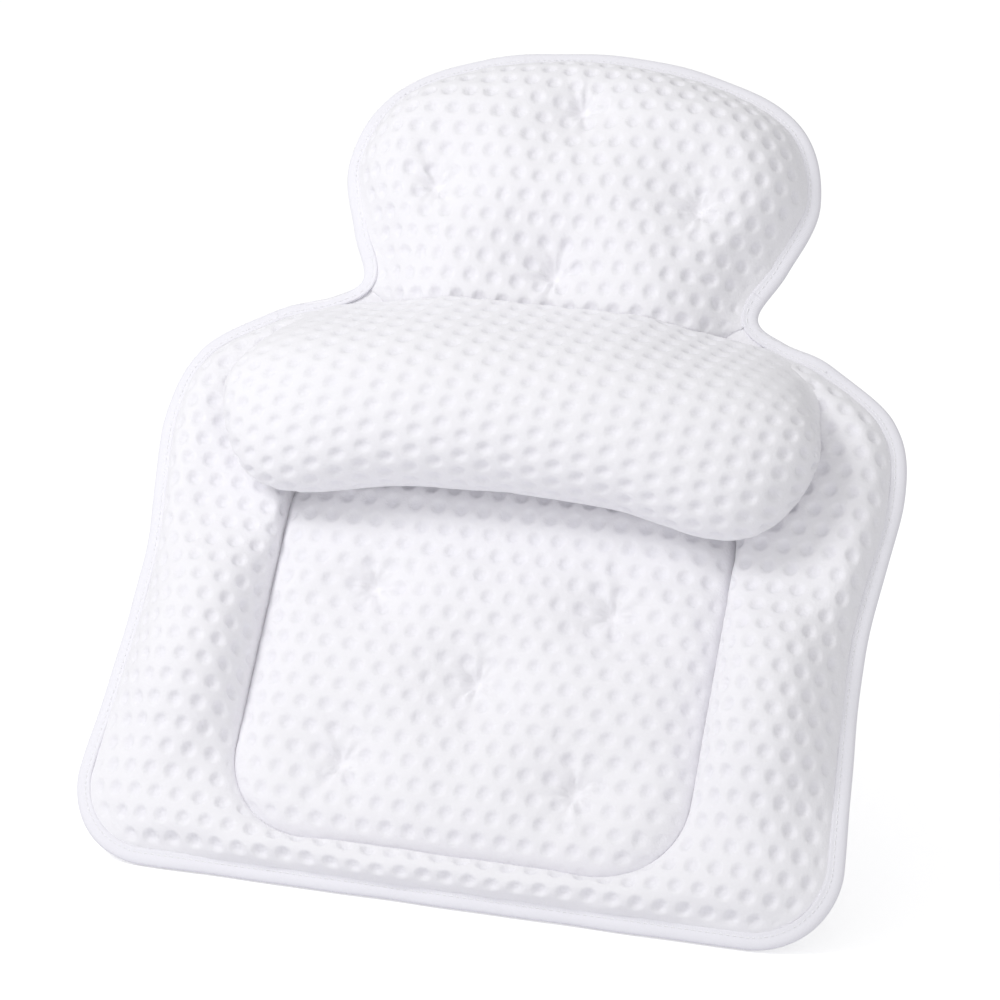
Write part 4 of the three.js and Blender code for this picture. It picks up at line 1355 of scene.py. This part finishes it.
def rear_knit():
    # A flat matt cloth whose open cells make it a little greyer than the front
    material, tree, shader = new_material("warp-knit polyester", "#F1F1F4", roughness=0.88)
    cloth = add(tree, "Attribute", {"attribute_name": "cloth"}).outputs["Vector"]
    knit = add(tree, "TexVoronoi", {"feature": "F1"}, Vector=cloth, Scale=1 / REAR_KNIT, Randomness=0.2)
    cells = knit.outputs["Distance"]
    open_knit_and_shade = add(tree, "Mix", {"data_type": "RGBA"}, i0=cells, i6=colour("#DCDCE2"), i7=colour("#F3F3F6"))
    bump = add(tree, "Bump", Height=cells, Distance=REAR_KNIT_HEIGHT * MM, Strength=0.5)
    tree.links.new(open_knit_and_shade.outputs[2], shader.inputs["Base Color"])
    tree.links.new(bump.outputs["Normal"], shader.inputs["Normal"])
    return material


tape_cloth, rear_fabric = woven_tape(), rear_knit()
print("materials:", tape_cloth.name, "and", rear_fabric.name)

# %% [markdown]
# Sewing thread is spun and twisted, so it has a fine grain and a low shine. The cups are soft clear vinyl
# out of a polished mould: light passes through and bends, so the shader transmits most of it, and a slow
# wave in the surface stops it from looking like hard glass. Neither piece has a cloth place, so both
# patterns lie on Object coordinates.

# %% Thread and vinyl
# A real twist is about 0.3 mm long. It is drawn at 0.8 mm, so that a close view shows it
TWIST = 0.8
TWIST_HEIGHT = 0.1
VINYL_WAVE = 9
VINYL_WAVE_HEIGHT = 0.4
VINYL_IOR = 1.53


def sewing_thread():
    # White thread that stands out from the cloth by its shine and its own small shadow
    material, tree, shader = new_material("spun polyester thread", "#F2F2F4", roughness=0.6)
    place = add(tree, "TexCoord").outputs["Object"]
    twist = add(tree, "TexNoise", Vector=place, Scale=1 / (TWIST * MM))
    bump = add(tree, "Bump", Height=twist.outputs["Fac"], Distance=TWIST_HEIGHT * MM, Strength=0.4)
    tree.links.new(bump.outputs["Normal"], shader.inputs["Normal"])
    return material


def soft_vinyl():
    # Clear and wet-looking, with bright rims where the bell turns away
    material, tree, shader = new_material("soft clear vinyl", "#F4F7F8", roughness=0.12)
    place = add(tree, "TexCoord").outputs["Object"]
    waves = add(tree, "TexNoise", Vector=place, Scale=1 / (VINYL_WAVE * MM))
    bump = add(tree, "Bump", Height=waves.outputs["Fac"], Distance=VINYL_WAVE_HEIGHT * MM, Strength=0.12)
    tree.links.new(bump.outputs["Normal"], shader.inputs["Normal"])
    shader.inputs["Transmission Weight"].default_value = 0.8
    shader.inputs["IOR"].default_value = VINYL_IOR
    return material


thread, vinyl = sewing_thread(), soft_vinyl()
print("materials:", thread.name, "and", vinyl.name)

# %% [markdown]
# Now each piece is leaned into place, gets its material, and the CAD nodes it stands for are hidden. Most
# pieces ride on one body. What crosses the neck seam bends instead: below the fold it follows the body,
# above it the head, and smoothly between. The head pad is one of these, because its foot is sewn into the
# seam and stays there when the head folds.

# %% Pads on their bodies
BEND_LOW_Y = 331
BEND_HIGH_Y = 357
BEND = (leaned(0, BEND_LOW_Y, SEAM_LEVEL), leaned(0, BEND_HIGH_Y, SEAM_LEVEL))
FOLD = "fold"
# Each pad with the body it follows, the share of its room that wadding fills, and its nodes
PADS = (
    (head_pad, FOLD, 0.8, ["head_cover", "head_fill"]),
    (neck_roll, "body", 0.9, ["neck_roll_cover", "neck_roll_fill"]),
    (border_pad, "body", 0.75,
     ["border_cover", "left_border_fill", "right_border_fill", "bottom_border_fill"]),
    (panel_pad, "body", 0.6, ["panel_cover", "panel_fill"]),
)


def put_on(piece, body, material, nodes=()):
    """Leans a finished piece into place, and lets it follow a body or bend with the fold."""
    mesh = piece.data
    mesh.transform(LEANED)
    mesh.polygons.foreach_set("use_smooth", [True] * len(mesh.polygons))
    mesh.materials.clear()
    mesh.materials.append(material)
    if nodes:
        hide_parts(*nodes)
    if body == FOLD:
        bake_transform(piece, "body", "head", *BEND)
    else:
        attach(piece, body)


for piece, body, fill, nodes in PADS:
    put_on(piece, body, mesh_cloth, nodes)
print(len(PADS), "pads in place")

# %% [markdown]
# The tapes, their stitches and the rear cloths are put on their bodies in the same way. The tape was cut
# 23 mm wide and folded in half. The rear cloths are stretched flat, and their size is that of the edge they
# are sewn to.

# %% Tapes and cloths on their bodies
REAR_CUT_IN = 2.3
TAPE_BODIES = {"tape_body": "body", "tape_head": "head"}
REARS = ((rear_head, "head", FOLD, "head_fill"), (rear_body, "body", "body", "panel_fill"))


for name, (edge, start, node) in TAPES.items():
    tape, seam = tapes[name], seams[name]
    put_on(tape, TAPE_BODIES.get(name, FOLD), tape_cloth, [node])
    put_on(seam, TAPE_BODIES.get(name, FOLD), thread)
for piece, part, body, filling in REARS:
    loop = edge_loop(part, REAR_CUT_IN, REAR_SEAM_IN)
    put_on(piece, body, rear_fabric, [f"rear_cover_{part}"])
put_on(neck_web, FOLD, mesh_cloth, ["neck_web"])

# %% [markdown]
# The ties go with the pad they hold. Each cup turns on its own body, while its patch and the patch's
# stitches stay with the cloth that they are sewn to. The first two cups are the head's.

# %% Ties, cups and patches on their bodies
HEAD_CUPS = 2

for tie, body, node in ties:
    put_on(tie, body, thread, [node])
for number, (cup, patch, ring) in enumerate(fixings, 1):
    holder = "head" if number <= HEAD_CUPS else "body"
    put_on(cup, f"cup_{number}", vinyl, [f"suction_cup_{number}"])
    put_on(patch, holder, rear_fabric, [f"cup_patch_{number}"])
    put_on(ring, holder, thread)
print(len(ties), "ties and", len(fixings), "cups in place")

# %% [markdown]
# The camera looks at the pillow from a little to the right and below its face, with a slight roll, as a
# product picture does. It is set by what it aims at, how far it turns round and up, its roll and its
# distance, which are easier to adjust than a place and three angles. The aim is a place of the flat plan;
# other distances of the studio are metres.

# %% Camera
AIM = (-8.2, 227.5, 25)
AZIMUTH = 14.19
ELEVATION = 14.27
ROLL = 2.96
DISTANCE = 2.062
VIEW_ANGLE = 15


def turned_by(degrees, axis):
    return Matrix.Rotation(math.radians(degrees), 4, axis)


scene = bpy.context.scene
camera = bpy.data.objects.new("camera", bpy.data.cameras.new("camera"))
camera.data.angle = math.radians(VIEW_ANGLE)
looking = turned_by(AZIMUTH, "Z") @ turned_by(90 - ELEVATION, "X") @ turned_by(ROLL, "Z")
camera.matrix_world = Matrix.Translation(leaned(*AIM)) @ looking @ Matrix.Translation((0, 0, DISTANCE))
scene.collection.objects.link(camera)
scene.camera = camera
print("camera at", tuple(round(value, 2) for value in camera.matrix_world.translation))

# %% [markdown]
# White cloth needs gentle light: too much and its folds vanish, too little and it turns grey. A white room
# gives most of the light, a round lamp from the upper left draws the shade in every dimple, and a large
# weak lamp from the right opens the shadows. The room looks pure white to the camera but lights the cloth
# less, which the Light Path node tells apart.

# %% Light
AMBIENT = 0.61
scene.view_settings.view_transform = "Standard"
scene.world = bpy.data.worlds.new("studio")
scene.world.use_nodes = True
room = scene.world.node_tree
sky = room.nodes["Background"]
sky.inputs["Color"].default_value = (1, 1, 1, 1)
room_ray = add(room, "LightPath").outputs["Is Camera Ray"]
strength = add(room, "Math", {"operation": "MULTIPLY_ADD"}, i0=room_ray, i1=1 - AMBIENT, i2=AMBIENT)
room.links.new(strength.outputs["Value"], sky.inputs["Strength"])


def soft_light(name, at, size, power):
    """A round studio light that looks at the middle of the pillow."""
    lamp = bpy.data.objects.new(name, bpy.data.lights.new(name, "AREA"))
    lamp.data.shape = "DISK"
    lamp.data.size = size
    lamp.data.energy = power
    turn = (at - leaned(*AIM)).to_track_quat("Z", "Y").to_matrix().to_4x4()
    lamp.matrix_world = Matrix.Translation(at) @ turn
    scene.collection.objects.link(lamp)
    print(name, "light:", power, "W")


soft_light("key", Vector((-0.9, -0.85, 1.15)), size=0.6, power=10.3)
soft_light("fill", Vector((0.75, -1.7, 0.25)), size=1.2, power=3.5)

# %% [markdown]
# The floor is a sheet of white paper just under the pillow. For the camera it glows a little, so that it
# runs into the white room without an edge, but it still takes the pillow's soft shadow. Towards the pillow
# it is plain pale paper.

# %% Floor
FLOOR_HALF = 6
FLOOR_GLOW = 0.42

floor = new_piece("floor")
on_ground = Matrix.Translation((0, 0, cad_box[0][2]))
with edited(floor) as bm:
    bmesh.ops.create_grid(bm, x_segments=1, y_segments=1, size=FLOOR_HALF, matrix=on_ground)
# Matt paper that returns no highlight, only white and the shadow
paper, paper_tree, paper_shader = new_material("white paper", "#FFFFFF", roughness=0.9)
paper_shader.inputs["Specular IOR Level"].default_value = 0
paper_shader.inputs["Emission Color"].default_value = (1, 1, 1, 1)
paper_ray = add(paper_tree, "LightPath").outputs["Is Camera Ray"]
glow = add(paper_tree, "Math", {"operation": "MULTIPLY"}, i0=paper_ray, i1=FLOOR_GLOW)
shade = add(paper_tree, "Mix", {"data_type": "RGBA"}, i0=paper_ray, i6=colour("#ECECEF"),
            i7=colour("#FFFFFF"))
paper_tree.links.new(glow.outputs["Value"], paper_shader.inputs["Emission Strength"])
paper_tree.links.new(shade.outputs[2], paper_shader.inputs["Base Color"])
floor.data.materials.append(paper)
print("floor at", round(cad_box[0][2], 3), "m")
